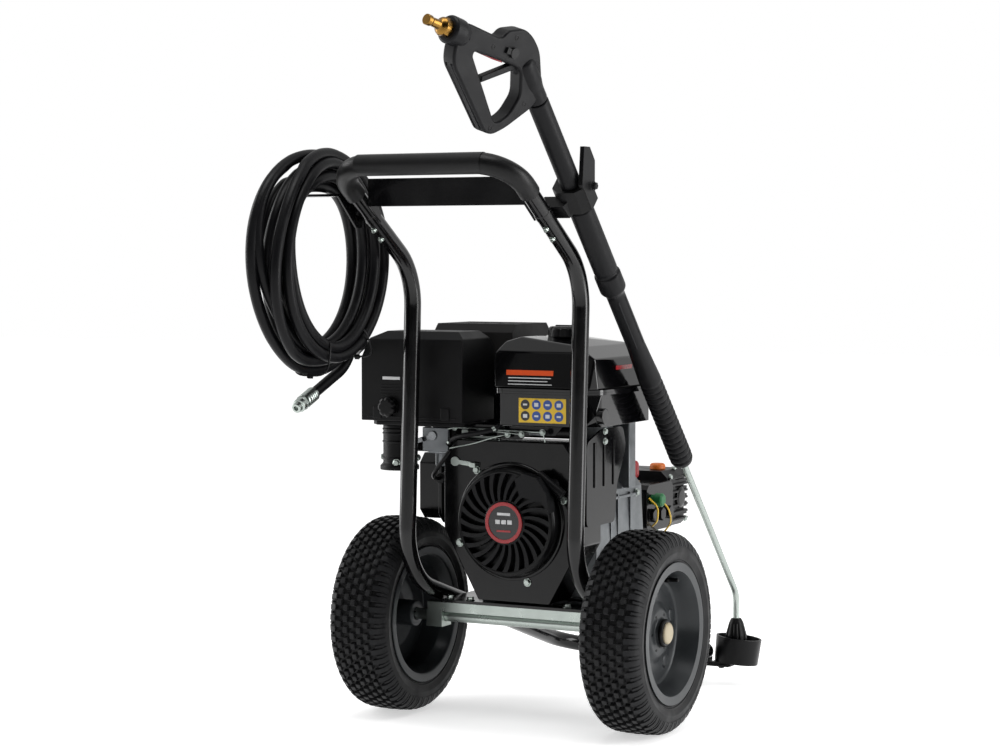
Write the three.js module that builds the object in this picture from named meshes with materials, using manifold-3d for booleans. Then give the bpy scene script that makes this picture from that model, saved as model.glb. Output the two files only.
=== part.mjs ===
// A petrol pressure washer on a two-wheeled tube frame, with its lance and high pressure hose.
// Millimetres, +Z up, +X to the right and -Y towards the person who holds the handle.
// Sizes are first written from the ground under the axle's middle; the whole group is then moved
// so that the origin is the middle of the machine's own footprint.
import * as THREE from "three";
import { mergeVertices } from "three/addons/utils/BufferGeometryUtils.js";
import Module from "manifold-3d";

const wasm = await Module();
wasm.setup();

// ---------------------------------------------------------------- driving dimensions
const gap = 0.3; // left between two pieces that touch
const runningClearance = 0.6; // round a shaft that turns
const finestEdge = 0.02; // shorter edges left by a cut are merged

// wheels
const tyreRadius = 165;
const tyreWidth = 105;
const tyreSection = 50; // from the rim's lip to the tread
const rimRadius = tyreRadius - tyreSection;
const wheelGap = 9; // between a side tube and the tyre beside it
const axleHeight = tyreRadius;
const axleRadius = 9.5;
const hubRadius = 22;
const hubLength = 62;

// frame tube
const tubeRadius = 14;
const frameHalfWidth = 154; // to the side tubes' middle lines
const uprightLean = 0.05; // forward travel for each mm of height
const kneeY = -113; // where the upright meets the sloping base rail
const frontBarY = 490;
const frontBarHeight = 45.3;
const shoulderHeight = 746; // where the upright turns back towards the handle
const handleRise = 0.673; // rise of the handle arm for each mm backwards
const handleJointY = -225; // where the handle tube joins the frame
const handleBarY = -335;
const gripBore = tubeRadius + 1;
const gripRadius = gripBore + 2;
const railEndY = 400; // where the front bar joins the side tubes
const frontBendRadius = 85;
const footOffset = 62;
const wheelOffset = frameHalfWidth + tubeRadius + wheelGap + tyreWidth / 2;

// deck and axle beam
const deckTop = axleHeight + 31;
const deckThickness = 5;
const deckRearY = -24;
const deckFrontY = 250;
const railHeight = deckTop - deckThickness + tubeRadius + 2; // base rail's middle above the axle
const railDrop = (railHeight - frontBarHeight) / frontBarY; // fall of the rail for each mm forward

// engine and pump: heights are drawn for a deck at drawnDeckTop, and the whole engine moves with the deck
const drawnDeckTop = 196;
const crankHeight = 336;
const crankcaseRearY = 45;
const crankcaseFrontY = 232;
const housingRearY = -35;
const housingHalfWidth = 126;
const housingTop = 468;
const housingWall = 4;
const fanRadius = 92;
const crankRadius = 14;
const recoilRadius = 90;
const recoilFaceY = -60;
const tankLeft = -40;
const tankRight = 166;
const tankRearY = -55;
const tankFrontY = 184;
const tankBottom = 496;
const tankSeam = 552;
const tankTop = 640;
const tankWall = 2.5;
const capRadius = 33;
const cleanerLeft = -272;
const cleanerRight = -78;
const cleanerRearY = -60;
const cleanerFrontY = 52;
const cleanerBottom = 496;
const cleanerTop = 647;

// pump
const pumpRearY = 395;
const pumpLength = 90;
const pumpHalfHeight = 51;
const pumpLeft = -72;
const pumpRight = 90;

// lance and gun
const gunY = -374; // where the gun's handle and barrel lines cross
const nozzleY = 476;
const sleeveRadius = 16.5;
const sleeveThickRadius = 19.5;
const lanceX = frameHalfWidth + tubeRadius + sleeveThickRadius + 4;
const lanceTubeRadius = 5.75;
const sleeveStart = 82; // along the lance from the gun's corner
const sleeveEnd = 883;
const holderY = -190;
const holderRise = 53.473; // from the side tube's middle up to the lance's middle, at holderY
const holderLength = 44;
const holderWall = 7;
const holderWallHeight = 125; // from the side tube's middle to the outer wall's top
const cupRadius = 41;
const cupHeight = 46;
const cupBottom = frontBarHeight - 5.3;
const nozzleTop = cupBottom + 80;
const nozzleLength = 50;
const nozzleRadius = 20;
const lanceBendHeight = nozzleTop + 43;

// hose coil on its hook
const hoseRadius = 9;
const coilY = -278;
const coilDrop = 100.93; // from the handle's middle line down to the coil's middle
const coilInner = 100;
const coilOuter = 195;
const coilHalfWidth = 33;
const coilX = -(frameHalfWidth + gripRadius + coilHalfWidth + 6);

// ---------------------------------------------------------------- small tools
const point = (x, y, z) => new THREE.Vector3(x, y, z);
const alongX = point(1, 0, 0);
const alongY = point(0, 1, 0);
const alongZ = point(0, 0, 1);

// A closed geometry as a solid that can be joined and cut.
function solid(geometry) {
  if (geometry instanceof wasm.Manifold) return geometry;
  const bare = geometry.index ? geometry.toNonIndexed() : geometry.clone();
  bare.deleteAttribute("normal");
  bare.deleteAttribute("uv");
  const merged = mergeVertices(bare, 1e-3);
  const mesh = new wasm.Mesh({
    numProp: 3,
    vertProperties: new Float32Array(merged.attributes.position.array),
    triVerts: new Uint32Array(merged.index.array),
  });
  return new wasm.Manifold(mesh);
}

function geometryOf(body) {
  const mesh = body.simplify(finestEdge).getMesh();
  const geometry = new THREE.BufferGeometry();
  geometry.setAttribute("position", new THREE.BufferAttribute(mesh.vertProperties, 3));
  geometry.setIndex(new THREE.BufferAttribute(mesh.triVerts, 1));
  geometry.computeVertexNormals();
  return geometry;
}

function join(...pieces) {
  return pieces.map(solid).reduce((a, b) => a.add(b));
}

function cut(piece, ...tools) {
  return tools.map(solid).reduce((a, b) => a.subtract(b), solid(piece));
}

function common(a, b) {
  return solid(a).intersect(solid(b));
}

function box(x0, x1, y0, y1, z0, z1) {
  const geometry = new THREE.BoxGeometry(x1 - x0, y1 - y0, z1 - z0);
  return geometry.translate((x0 + x1) / 2, (y0 + y1) / 2, (z0 + z1) / 2);
}

// Turns a geometry whose own axis is +Y so that the axis runs from one point towards another.
function aim(geometry, from, direction) {
  const turn = new THREE.Quaternion().setFromUnitVectors(alongY, direction.clone().normalize());
  return geometry.applyQuaternion(turn).translate(from.x, from.y, from.z);
}

// A round bar or cone between two points.
function bar(from, to, radius, endRadius = radius, sides = 16) {
  const line = to.clone().sub(from);
  const geometry = new THREE.CylinderGeometry(endRadius, radius, line.length(), sides);
  return aim(geometry.translate(0, line.length() / 2, 0), from, line);
}

// A turned piece: [radius, distance] pairs along an axis that starts at a point. The pairs run
// round the section either way, and are led so that its faces point out.
function turned(profile, from, direction, segments = 24) {
  const section = profile.map(([radius, along]) => new THREE.Vector2(radius, along));
  if (THREE.ShapeUtils.area(section) < 0) section.reverse();
  return aim(new THREE.LatheGeometry(section, segments), from, direction);
}

// A closed turned ring: the same, with the profile led back to its first point.
function ring(profile, from, direction, segments = 24) {
  return turned([...profile, profile[0]], from, direction, segments);
}

function outline(points) {
  return new THREE.Shape(points.map(([x, y]) => new THREE.Vector2(x, y)));
}

// A flat outline given in (first, second) coordinates, made thick along first x second.
function slab(shape, origin, first, second, from, to) {
  const geometry = new THREE.ExtrudeGeometry(shape, { depth: to - from, bevelEnabled: false });
  geometry.translate(0, 0, from);
  const third = first.clone().cross(second);
  const frame = new THREE.Matrix4().makeBasis(first, second, third).setPosition(origin);
  return geometry.applyMatrix4(frame);
}

// An outline in the plane that looks along +Y (x across, z up), thick from y0 to y1.
function profileXZ(points, y0, y1) {
  return slab(outline(points), point(0, 0, 0), alongX, alongZ, -y1, -y0);
}

// An outline in the side plane (y, z), thick from x0 to x1.
function profileYZ(points, x0, x1) {
  return slab(outline(points), point(0, 0, 0), alongY, alongZ, x0, x1);
}

// An outline in the plan (x, y), thick from z0 to z1.
function profileXY(points, z0, z1) {
  return slab(outline(points), point(0, 0, 0), alongX, alongY, z0, z1);
}

// The four corners of a rectangle cut off at 45 degrees.
function chamfered(x0, x1, y0, y1, c) {
  return [
    [x0 + c, y0], [x1 - c, y0], [x1, y0 + c], [x1, y1 - c],
    [x1 - c, y1], [x0 + c, y1], [x0, y1 - c], [x0, y0 + c],
  ];
}

// A route of straight stretches with round bends: only the bends take more than one step.
class BentRoute extends THREE.Curve {
  constructor(corners, bendRadius, stepsPerBend) {
    super();
    this.stations = [corners[0].clone()];
    for (let i = 1; i < corners.length - 1; i += 1) {
      this.addBend(corners[i - 1], corners[i], corners[i + 1], bendRadius, stepsPerBend);
    }
    this.stations.push(corners[corners.length - 1].clone());
  }
  addBend(before, corner, after, radius, steps) {
    const into = corner.clone().sub(before).normalize();
    const out = after.clone().sub(corner).normalize();
    const angle = into.angleTo(out);
    const reach = radius * Math.tan(angle / 2);
    const start = corner.clone().addScaledVector(into, -reach);
    const inward = out.clone().addScaledVector(into, -into.dot(out)).normalize();
    for (let i = 0; i <= steps; i += 1) {
      const turn = (angle * i) / steps;
      const station = start.clone().addScaledVector(into, radius * Math.sin(turn));
      this.stations.push(station.addScaledVector(inward, radius * (1 - Math.cos(turn))));
    }
  }
  get steps() {
    return this.stations.length - 1;
  }
  getPoint(t) {
    const place = Math.min(Math.max(t, 0), 1) * this.steps;
    const i = Math.min(Math.floor(place), this.steps - 1);
    return this.stations[i].clone().lerp(this.stations[i + 1], place - i);
  }
  getUtoTmapping(u) {
    return u;
  }
}

function roundSection(radius, sides, bore = 0) {
  const circle = (r) =>
    Array.from({ length: sides }, (_, i) => [
      r * Math.cos((2 * Math.PI * i) / sides),
      r * Math.sin((2 * Math.PI * i) / sides),
    ]);
  const section = outline(circle(radius));
  if (bore) section.holes.push(outline(circle(bore)));
  return section;
}

function tube(corners, bendRadius, radius, { sides = 12, stepsPerBend = 6, bore = 0 } = {}) {
  const route = new BentRoute(corners, bendRadius, stepsPerBend);
  const section = roundSection(radius, sides, bore);
  return new THREE.ExtrudeGeometry(section, { steps: route.steps, extrudePath: route });
}

// A soft hose through points, a few diameters a step.
function hose(points, radius, steps) {
  const route = new THREE.CatmullRomCurve3(points, false, "centripetal");
  return new THREE.ExtrudeGeometry(roundSection(radius, 10), { steps, extrudePath: route });
}

// ---------------------------------------------------------------- finishes
const finish = (color, roughness, metalness) => ({ color, roughness, metalness });
const finishes = {
  blackPaint: finish("#141416", 0.25, 0.1),
  blackPlastic: finish("#17181a", 0.5, 0),
  softGrip: finish("#1b1b1d", 0.7, 0),
  rubber: finish("#1a1a1b", 0.85, 0),
  greyPaint: finish("#4b4f52", 0.4, 0.3),
  zinc: finish("#c4c8c6", 0.35, 0.9),
  aluminium: finish("#a9abac", 0.5, 0.8),
  brass: finish("#b98f3e", 0.35, 0.9),
  redPlastic: finish("#b5202a", 0.5, 0),
  orangePlastic: finish("#d9832b", 0.5, 0),
  greenPlastic: finish("#2f8f53", 0.45, 0),
  steel: finish("#8d9092", 0.4, 0.9),
  heatBlack: finish("#242426", 0.6, 0.4),
};

const machine = new THREE.Group();
const engine = new THREE.Group();
engine.position.z = deckTop - drawnDeckTop;
machine.add(engine);

function add(name, piece, look, home = machine) {
  const geometry = piece instanceof wasm.Manifold ? geometryOf(piece) : piece;
  const mesh = new THREE.Mesh(geometry, new THREE.MeshStandardMaterial(finishes[look]));
  mesh.name = name;
  home.add(mesh);
}

function addToEngine(name, piece, look) {
  add(name, piece, look, engine);
}

// ---------------------------------------------------------------- frame
const railAt = (y) => railHeight - railDrop * y;
const kneeHeight = railAt(kneeY);
const shoulderY = kneeY + uprightLean * (shoulderHeight - kneeHeight);
const handleAt = (y) => shoulderHeight + handleRise * (shoulderY - y);
const railDirection = point(0, 1, -railDrop).normalize();
const armDirection = point(0, -1, handleRise).normalize();
const bendRadius = { shoulder: 105, handle: 60 };

function sideTube(side) {
  const x = side * frameHalfWidth;
  const route = [
    point(x, handleJointY, handleAt(handleJointY)),
    point(x, shoulderY, shoulderHeight),
    point(x, kneeY, kneeHeight),
    point(x, railEndY, railAt(railEndY)),
  ];
  return tube(route, bendRadius.shoulder, tubeRadius);
}

function acrossRoute(endY, barY, heightAt, nudge) {
  const end = (side) => point(side * frameHalfWidth, endY, heightAt(endY)).add(nudge);
  const corner = (side) => point(side * frameHalfWidth, barY, heightAt(barY));
  return [end(-1), corner(-1), corner(1), end(1)];
}

function frontBar(radius = tubeRadius) {
  const nudge = railDirection.clone().multiplyScalar(gap);
  const route = acrossRoute(railEndY, frontBarY, railAt, nudge);
  return tube(route, frontBendRadius, radius);
}

function handleTube() {
  const nudge = armDirection.clone().multiplyScalar(gap);
  const route = acrossRoute(handleJointY, handleBarY, handleAt, nudge);
  return tube(route, bendRadius.handle, tubeRadius, { stepsPerBend: 8 });
}

function handleGrip() {
  const gripStartY = handleBarY + bendRadius.handle + 4;
  const route = acrossRoute(gripStartY, handleBarY, handleAt, point(0, 0, 0));
  return tube(route, bendRadius.handle, gripRadius, { stepsPerBend: 8, bore: gripBore });
}

function handlePlate() {
  const reach = frameHalfWidth - tubeRadius - gap;
  const plateY = -255;
  const bottom = handleAt(plateY) - 8;
  const web = box(-reach, reach, plateY - 2, plateY + 2, bottom, bottom + 44);
  const gusset = (side) =>
    profileYZ(
      [[plateY, bottom], [plateY + 34, bottom - 24], [plateY + 34, bottom - 10], [plateY, bottom + 30]],
      side > 0 ? reach - 3 : -reach,
      side > 0 ? reach : -reach + 3,
    );
  return join(web, gusset(-1), gusset(1));
}

function foot(side) {
  const top = frontBarHeight - tubeRadius - gap;
  const x = side * footOffset;
  return bar(point(x, frontBarY, 0), point(x, frontBarY, top), 21, 17, 20);
}

for (const [side, word] of [[-1, "left"], [1, "right"]]) {
  add(`frame_tube_${word}`, sideTube(side), "blackPaint");
  add(`foot_${word}`, foot(side), "rubber");
}
add("front_cross_tube", frontBar(), "blackPaint");
add("handle_tube", handleTube(), "blackPaint");
add("handle_grip", handleGrip(), "softGrip");
add("handle_plate", handlePlate(), "blackPaint");

// ---------------------------------------------------------------- deck, axle and wheels
// The side skirts start where the rail dips below the deck.
const skirtRearY = (railHeight - deckTop + deckThickness + 0.5) / railDrop;
const beamTop = deckTop - deckThickness - gap;
const beamBottom = axleHeight + axleRadius + gap;

function deck() {
  const reach = frameHalfWidth - tubeRadius - gap;
  const under = deckTop - deckThickness;
  const top = box(-reach, reach, deckRearY, deckFrontY, under, deckTop);
  const skirt = (x0, x1) =>
    profileYZ(
      [
        [skirtRearY, under + 1], [skirtRearY, railAt(skirtRearY)],
        [deckFrontY, railAt(deckFrontY)], [deckFrontY, under + 1],
      ],
      x0,
      x1,
    );
  return join(top, skirt(-reach, -reach + 4), skirt(reach - 4, reach));
}

function axleBeam() {
  const reach = frameHalfWidth + 12;
  const beam = box(-reach, reach, -22, 2, beamBottom, beamTop);
  const bossX = frameHalfWidth + 2;
  const bossBottom = axleHeight - 17;
  const boss = (side) => box(side * bossX - 15, side * bossX + 15, -17, 15, bossBottom, beamBottom + 1);
  const bore = bar(
    point(-wheelOffset, 0, axleHeight),
    point(wheelOffset, 0, axleHeight),
    axleRadius + runningClearance,
  );
  return cut(join(beam, boss(-1), boss(1)), bore);
}

const hubFace = wheelOffset + hubLength / 2;

function tyre(side) {
  const half = tyreWidth / 2;
  const bead = rimRadius;
  const profile = [
    [bead - 11, -half + 13], [bead + 1.2, -half + 4.5], [bead + 14, -half + 0.8], [tyreRadius - 27, -half],
    [tyreRadius - 10, -half + 6], [tyreRadius, -half + 21],
    [tyreRadius, half - 21], [tyreRadius - 10, half - 6],
    [tyreRadius - 27, half], [bead + 14, half - 0.8], [bead + 1.2, half - 4.5], [bead - 11, half - 13],
    [bead - 11, half - 22], [bead + 18, half - 13], [tyreRadius - 14, half - 24],
    [tyreRadius - 14, -half + 24], [bead + 18, -half + 13], [bead - 11, -half + 22],
  ];
  return ring(profile, point(side * wheelOffset, 0, axleHeight), alongX, 28);
}

function rim(side) {
  const lip = tyreWidth / 2 - 2;
  const bore = axleRadius + runningClearance;
  const hubHalf = hubLength / 2;
  const well = rimRadius - 23;
  const seat = rimRadius - 12;
  const profile = [
    [rimRadius, lip], [rimRadius, lip - 2.2], [seat, lip - 6], [seat, -lip + 6],
    [rimRadius, -lip + 2.2], [rimRadius, -lip], [seat - 2, -lip + 1], [well, -lip + 24], [well, 10],
    [hubRadius + 3, 18], [hubRadius, 12], [hubRadius, -hubHalf], [bore, -hubHalf],
    [bore, hubHalf], [hubRadius, hubHalf], [hubRadius + 3, 23], [well - 4, 15],
    [well, 24], [seat - 2, lip - 1],
  ];
  return ring(profile, point(side * wheelOffset, 0, axleHeight), point(side, 0, 0), 28);
}

add("engine_deck", deck(), "blackPaint");
add("axle_beam", axleBeam(), "zinc");
add(
  "axle_bar",
  bar(point(-hubFace + 3, 0, axleHeight), point(hubFace - 3, 0, axleHeight), axleRadius),
  "zinc",
);
for (const [side, word] of [[-1, "left"], [1, "right"]]) {
  add(`tyre_${word}`, tyre(side), "rubber");
  add(`rim_${word}`, rim(side), "greyPaint");
}

// ---------------------------------------------------------------- engine
const crankAt = (y) => point(0, y, crankHeight);
const engineFoot = drawnDeckTop + gap;

function crankcase() {
  const block = profileXZ(
    [
      [-96, engineFoot + 8], [112, engineFoot + 8], [118, 300], [114, 380],
      [70, 434], [-62, 434], [-104, 400], [-104, 270],
    ],
    crankcaseRearY,
    crankcaseFrontY,
  );
  const feet = [70, 190].map((y) => box(-118, 124, y, y + 32, engineFoot, engineFoot + 12));
  const posts = [66, 156].map((y) => box(84, 126, y, y + 26, 380, tankBottom - gap));
  const bore = bar(crankAt(0), crankAt(300), crankRadius + runningClearance);
  return cut(join(block, ...feet, ...posts), bore);
}

const plugAt = point(-160, 58, 396);

function cylinderBlock() {
  const right = -104 - gap;
  const core = box(right - 78, right, 78, 172, 322, 428);
  const fins = [];
  for (let i = 0; i < 6; i += 1) {
    const x = right - 10 - i * 12;
    fins.push(box(x - 3, x, 62, 188, 305, 444));
  }
  const plugBoss = bar(plugAt.clone().setY(90), plugAt, 13);
  return join(core, ...fins, plugBoss);
}

function rockerCover() {
  const right = -104 - gap - 78 - gap;
  const cover = profileYZ(chamfered(72, 178, 318, 432, 16), right - 52, right);
  const rib = profileYZ(chamfered(66, 184, 312, 438, 16), right - 12, right - 4);
  return join(cover, rib);
}

function blowerHousing() {
  const w = housingHalfWidth;
  const shape = [
    [-w, 318], [-62, engineFoot + 6], [70, engineFoot + 6], [w, 300],
    [w, housingTop - 42], [w - 30, housingTop], [-w + 26, housingTop], [-w, housingTop - 26],
  ];
  const shell = profileXZ(shape, housingRearY, crankcaseRearY - gap);
  const fanRoom = fanRadius + 8;
  const mouthRadius = recoilRadius - 14;
  const cavityStart = crankAt(housingRearY + housingWall);
  const cavity = bar(cavityStart, crankAt(crankcaseRearY + 10), fanRoom, fanRoom, 32);
  const mouth = bar(crankAt(housingRearY - 10), crankAt(housingRearY + 20), mouthRadius, mouthRadius, 32);
  return cut(shell, cavity, mouth);
}

const slotCount = 24;

function recoilCover() {
  const rise = housingRearY - recoilFaceY - gap;
  const wall = 3;
  const profile = [
    [0, rise], [37, rise], [40, rise - 3], [75, rise - 5], [85, rise - 11], [recoilRadius, 0],
    [recoilRadius - wall, 0], [82, rise - 13], [72, rise - 8],
    [37, rise - 7], [34, rise - 4], [0, rise - 4],
  ];
  const dome = turned(profile, crankAt(housingRearY - gap), point(0, -1, 0), 32);
  const slots = [];
  for (let i = 0; i < slotCount; i += 1) {
    const slot = box(43, 72, -rise - 2, -2, -2.2, 2.2);
    slot.rotateY((2 * Math.PI * i) / slotCount);
    slots.push(slot.translate(0, housingRearY - gap, crankHeight));
  }
  return cut(dome, ...slots);
}

function flywheelFan() {
  const back = crankcaseRearY - 12;
  const front = housingRearY + housingWall + 5;
  const disc = bar(crankAt(back - 10), crankAt(back), fanRadius, fanRadius, 32);
  const hub = bar(crankAt(front), crankAt(back), 26);
  const blades = [];
  for (let i = 0; i < 12; i += 1) {
    const blade = box(50, fanRadius - 2, front + 4, back - 5, -1.5, 1.5);
    blade.rotateY((2 * Math.PI * i) / 12);
    blades.push(blade.translate(0, 0, crankHeight));
  }
  return cut(join(disc, hub, ...blades), bar(crankAt(front - 5), crankAt(back + 5), crankRadius + gap));
}

function fuelTankLower() {
  const walls = chamfered(tankLeft + 6, tankRight - 5, tankRearY + 5, tankFrontY - 5, 22);
  const body = profileXY(walls, tankBottom, tankSeam - 2);
  const rimOutline = chamfered(tankLeft, tankRight, tankRearY, tankFrontY, 24);
  const flange = profileXY(rimOutline, tankSeam - 4, tankSeam - gap / 2);
  const lugAt = (x) => point(x, tankRearY + 24, tankBottom + 18);
  const lug = bar(lugAt(tankRight - 8), lugAt(tankRight + 4), 13);
  const rear = tankRearY + 5 + tankWall;
  const front = tankFrontY - 5 - tankWall;
  const inner = chamfered(tankLeft + 6 + tankWall, tankRight - 12, rear, front, 21);
  const hollow = profileXY(inner, tankBottom + tankWall, tankSeam + 5);
  return cut(join(body, flange, lug), hollow);
}

const fillerAt = point(70, 34, tankTop - 2);

function fuelTankUpper() {
  const low = tankSeam + gap / 2;
  const crown = [
    [tankLeft + 7, low], [tankRight - 6, low],
    [tankRight - 10, tankTop - 34], [tankRight - 40, tankTop - 14],
    [tankLeft + 52, tankTop], [tankLeft + 26, tankTop - 8], [tankLeft + 12, tankTop - 30],
  ];
  const body = profileXZ(crown, tankRearY + 6, tankFrontY - 6);
  const rounding = profileYZ(
    [
      [tankRearY + 6, low], [tankFrontY - 6, low],
      [tankFrontY - 12, tankTop - 30], [tankFrontY - 34, tankTop + 1],
      [tankRearY + 34, tankTop + 1], [tankRearY + 13, tankTop - 24],
    ],
    tankLeft - 20,
    tankRight + 20,
  );
  const flange = profileXY(chamfered(tankLeft, tankRight, tankRearY, tankFrontY, 24), low, low + 4);
  const neck = bar(fillerAt.clone().setZ(tankTop - 40), fillerAt, 26, 26, 20);
  const hollow = box(tankLeft + 20, tankRight - 22, tankRearY + 20, tankFrontY - 20, low - 5, tankTop - 42);
  const filler = bar(fillerAt.clone().setZ(low - 5), fillerAt.clone().setZ(tankTop + 5), 22, 22, 20);
  return cut(join(common(body, rounding), flange, neck), hollow, filler);
}

function fuelCap() {
  const bottom = fillerAt.clone().setZ(fillerAt.z + gap);
  const profile = [[0, 0], [capRadius, 0], [capRadius, 15], [capRadius - 4, 18], [0, 18.5]];
  return turned(profile, bottom, alongZ, 28);
}

const carburettorLeft = -172;
const carburettorRight = -130;
const elbowBottom = 462;

function airCleanerBase() {
  const tray = profileXY(
    chamfered(cleanerLeft + 10, cleanerRight - 8, cleanerRearY + 10, cleanerFrontY - 6, 14),
    cleanerBottom - 8,
    cleanerBottom - gap,
  );
  const elbow = box(carburettorLeft + 2, carburettorRight - 2, 2, 38, elbowBottom, cleanerBottom - 6);
  return join(tray, elbow);
}

function airCleanerCover() {
  const c = 26;
  const front = [
    [cleanerLeft, cleanerBottom], [cleanerRight, cleanerBottom], [cleanerRight, cleanerTop - 12],
    [cleanerRight - 14, cleanerTop], [cleanerLeft + 44, cleanerTop], [cleanerLeft + 16, cleanerTop - 12],
    [cleanerLeft, cleanerTop - 44],
  ];
  const side = [
    [cleanerRearY, cleanerBottom], [cleanerFrontY, cleanerBottom], [cleanerFrontY, cleanerTop - c],
    [cleanerFrontY - c, cleanerTop + 1], [cleanerRearY + 14, cleanerTop + 1],
    [cleanerRearY, cleanerTop - 14],
  ];
  const body = common(
    profileXZ(front, cleanerRearY, cleanerFrontY),
    profileYZ(side, cleanerLeft - 10, cleanerRight + 10),
  );
  const wall = 12;
  const hollow = box(
    cleanerLeft + wall, cleanerRight - wall, cleanerRearY + wall, cleanerFrontY - wall,
    cleanerBottom - 5, cleanerTop - 46,
  );
  return cut(body, hollow);
}

const knobAt = point(-216, cleanerRearY, 520);

function cleanerKnob() {
  const profile = [[0, 0], [15, 0], [17, 3], [17, 12], [13, 15], [0, 15]];
  return turned(profile, knobAt.clone().setY(knobAt.y - gap), point(0, -1, 0), 20);
}

function intakeResonator() {
  const x = -224;
  const y = -14;
  const top = cleanerBottom - 8 - gap;
  const profile = [[0, 0], [33, 0], [33, 7], [28, 12], [28, top - 411], [0, top - 411]];
  const pot = turned(profile, point(x, y, 411), alongZ, 24);
  const pipe = bar(point(x, 8, 450), point(carburettorLeft - gap, 8, 450), 9);
  return join(pot, pipe);
}

function carburettor() {
  const middle = (carburettorLeft + carburettorRight) / 2;
  const body = box(carburettorLeft, carburettorRight, -8, 40, 440, elbowBottom - gap);
  const bowl = bar(point(middle, 16, 418), point(middle, 16, 442), 18);
  const face = box(carburettorLeft - 8, carburettorRight, -14, -8, 444, 484);
  return join(body, bowl, face);
}

// A flat lever with a round eye, in the plane that looks along +Y.
function lever(pivot, reach, angle, thickness) {
  const arm = box(0, reach, 0, thickness, -4, 4);
  const tab = box(reach - 10, reach, -8, thickness, -4, 4);
  const eye = bar(point(0, 0, 0), point(0, thickness, 0), 8);
  const whole = geometryOf(join(arm, eye, tab));
  return whole.rotateY(-angle).translate(pivot.x, pivot.y, pivot.z);
}

const chokePivot = point(-160, -14 - gap - 2.5, 470);
const fuelValvePivot = point(-104, housingRearY - gap - 2.5, 431);
const throttlePivot = point(-44, -6, housingTop + gap);

function throttleLever() {
  const arm = box(-62, 0, -5, 5, 0, 4);
  const tab = box(-62, -50, -5, 5, 0, 14);
  const eye = bar(point(0, 0, 0), point(0, 0, 5), 10);
  const whole = geometryOf(join(arm, tab, eye));
  return whole.translate(throttlePivot.x, throttlePivot.y, throttlePivot.z);
}

function muffler() {
  const can = bar(point(-184, 132, 588), point(-62, 132, 588), 42, 42, 24);
  const pipe = bar(point(-126, 132, 444 + gap), point(-126, 132, 560), 15);
  return join(can, pipe);
}

function mufflerGuard() {
  const shell = profileYZ(chamfered(62, 204, 520, 657, 14), -200, -48);
  const hollow = profileYZ(chamfered(64, 202, 500, 655, 13), -198, -50);
  const slots = [];
  for (let i = 0; i < 4; i += 1) {
    slots.push(box(-80 - i * 26, -68 - i * 26, 100, 168, 650, 660));
  }
  return cut(shell, hollow, ...slots);
}

function sparkPlug() {
  const profile = [[0, 0], [7, 0], [7, 12], [11, 12], [11, 20], [9, 20], [9, 46], [0, 48]];
  return turned(profile, plugAt.clone().setY(plugAt.y - gap), point(0, -1, 0), 16);
}

function dipstick() {
  const at = point(118 + gap, 150, 268);
  const profile = [[0, 0], [14, 0], [14, 6], [11, 8], [11, 20], [0, 21]];
  return turned(profile, at, alongX, 16);
}

function recoilHandle() {
  const handle = bar(point(-27, 0, 0), point(27, 0, 0), 8, 8, 12);
  const neck = bar(point(0, 0, 0), point(0, 13, 0), 7, 9, 12);
  const whole = geometryOf(join(handle, neck));
  whole.rotateY(Math.PI / 5);
  const pull = point(84, housingRearY - 22, crankHeight + 66);
  return whole.translate(pull.x, pull.y, pull.z);
}

addToEngine("crankcase", crankcase(), "aluminium");
addToEngine("cylinder_block", cylinderBlock(), "aluminium");
addToEngine("rocker_cover", rockerCover(), "blackPaint");
addToEngine("blower_housing", blowerHousing(), "blackPaint");
addToEngine("recoil_cover", recoilCover(), "blackPlastic");
addToEngine("recoil_handle", recoilHandle(), "blackPlastic");
addToEngine("flywheel_fan", flywheelFan(), "steel");
addToEngine("crankshaft", bar(crankAt(housingRearY + 12), crankAt(pumpRearY + 40), crankRadius), "steel");
addToEngine("fuel_tank_lower", fuelTankLower(), "blackPaint");
addToEngine("fuel_tank_upper", fuelTankUpper(), "blackPaint");
addToEngine("fuel_cap", fuelCap(), "blackPlastic");
addToEngine("air_cleaner_base", airCleanerBase(), "blackPlastic");
addToEngine("air_cleaner_cover", airCleanerCover(), "blackPlastic");
addToEngine("air_cleaner_knob", cleanerKnob(), "blackPlastic");
addToEngine("intake_resonator", intakeResonator(), "blackPlastic");
addToEngine("carburettor", carburettor(), "aluminium");
addToEngine("choke_lever", lever(chokePivot, 25, 3.5, 2.5), "steel");
addToEngine("fuel_valve_lever", lever(fuelValvePivot, 42, -0.12, 2.5), "zinc");
addToEngine("throttle_lever", throttleLever(), "zinc");
addToEngine("muffler", muffler(), "heatBlack");
addToEngine("muffler_guard", mufflerGuard(), "heatBlack");
addToEngine("spark_plug", sparkPlug(), "steel");
addToEngine("oil_dipstick", dipstick(), "blackPlastic");

// ---------------------------------------------------------------- pump
const pumpFrontY = pumpRearY + pumpLength;
const bellFrontY = pumpRearY - gap;

function bellHousing() {
  const start = crankcaseFrontY + gap;
  const length = bellFrontY - start;
  const bore = crankRadius + 12;
  const profile = [
    [bore, 0], [80, 0], [80, 12], [56, 26], [43, 42], [43, length], [bore, length],
  ];
  return ring(profile, crankAt(start), alongY, 28);
}

function pumpCrankcase() {
  const low = crankHeight - pumpHalfHeight;
  const high = crankHeight + pumpHalfHeight;
  const block = profileXZ(chamfered(pumpLeft, pumpRight, low, high, 12), pumpRearY, pumpFrontY);
  const bore = bar(crankAt(pumpRearY - 5), crankAt(pumpRearY + 50), crankRadius + runningClearance);
  const grooves = [];
  for (let i = 0; i < 6; i += 1) {
    const z = low + 14 + i * 14;
    grooves.push(box(pumpRight - 6, pumpRight + 5, pumpRearY + 38, pumpFrontY + 5, z, z + 5));
  }
  return cut(block, bore, ...grooves);
}

const unloaderAt = point(60, 304, 382 + gap);

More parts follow.
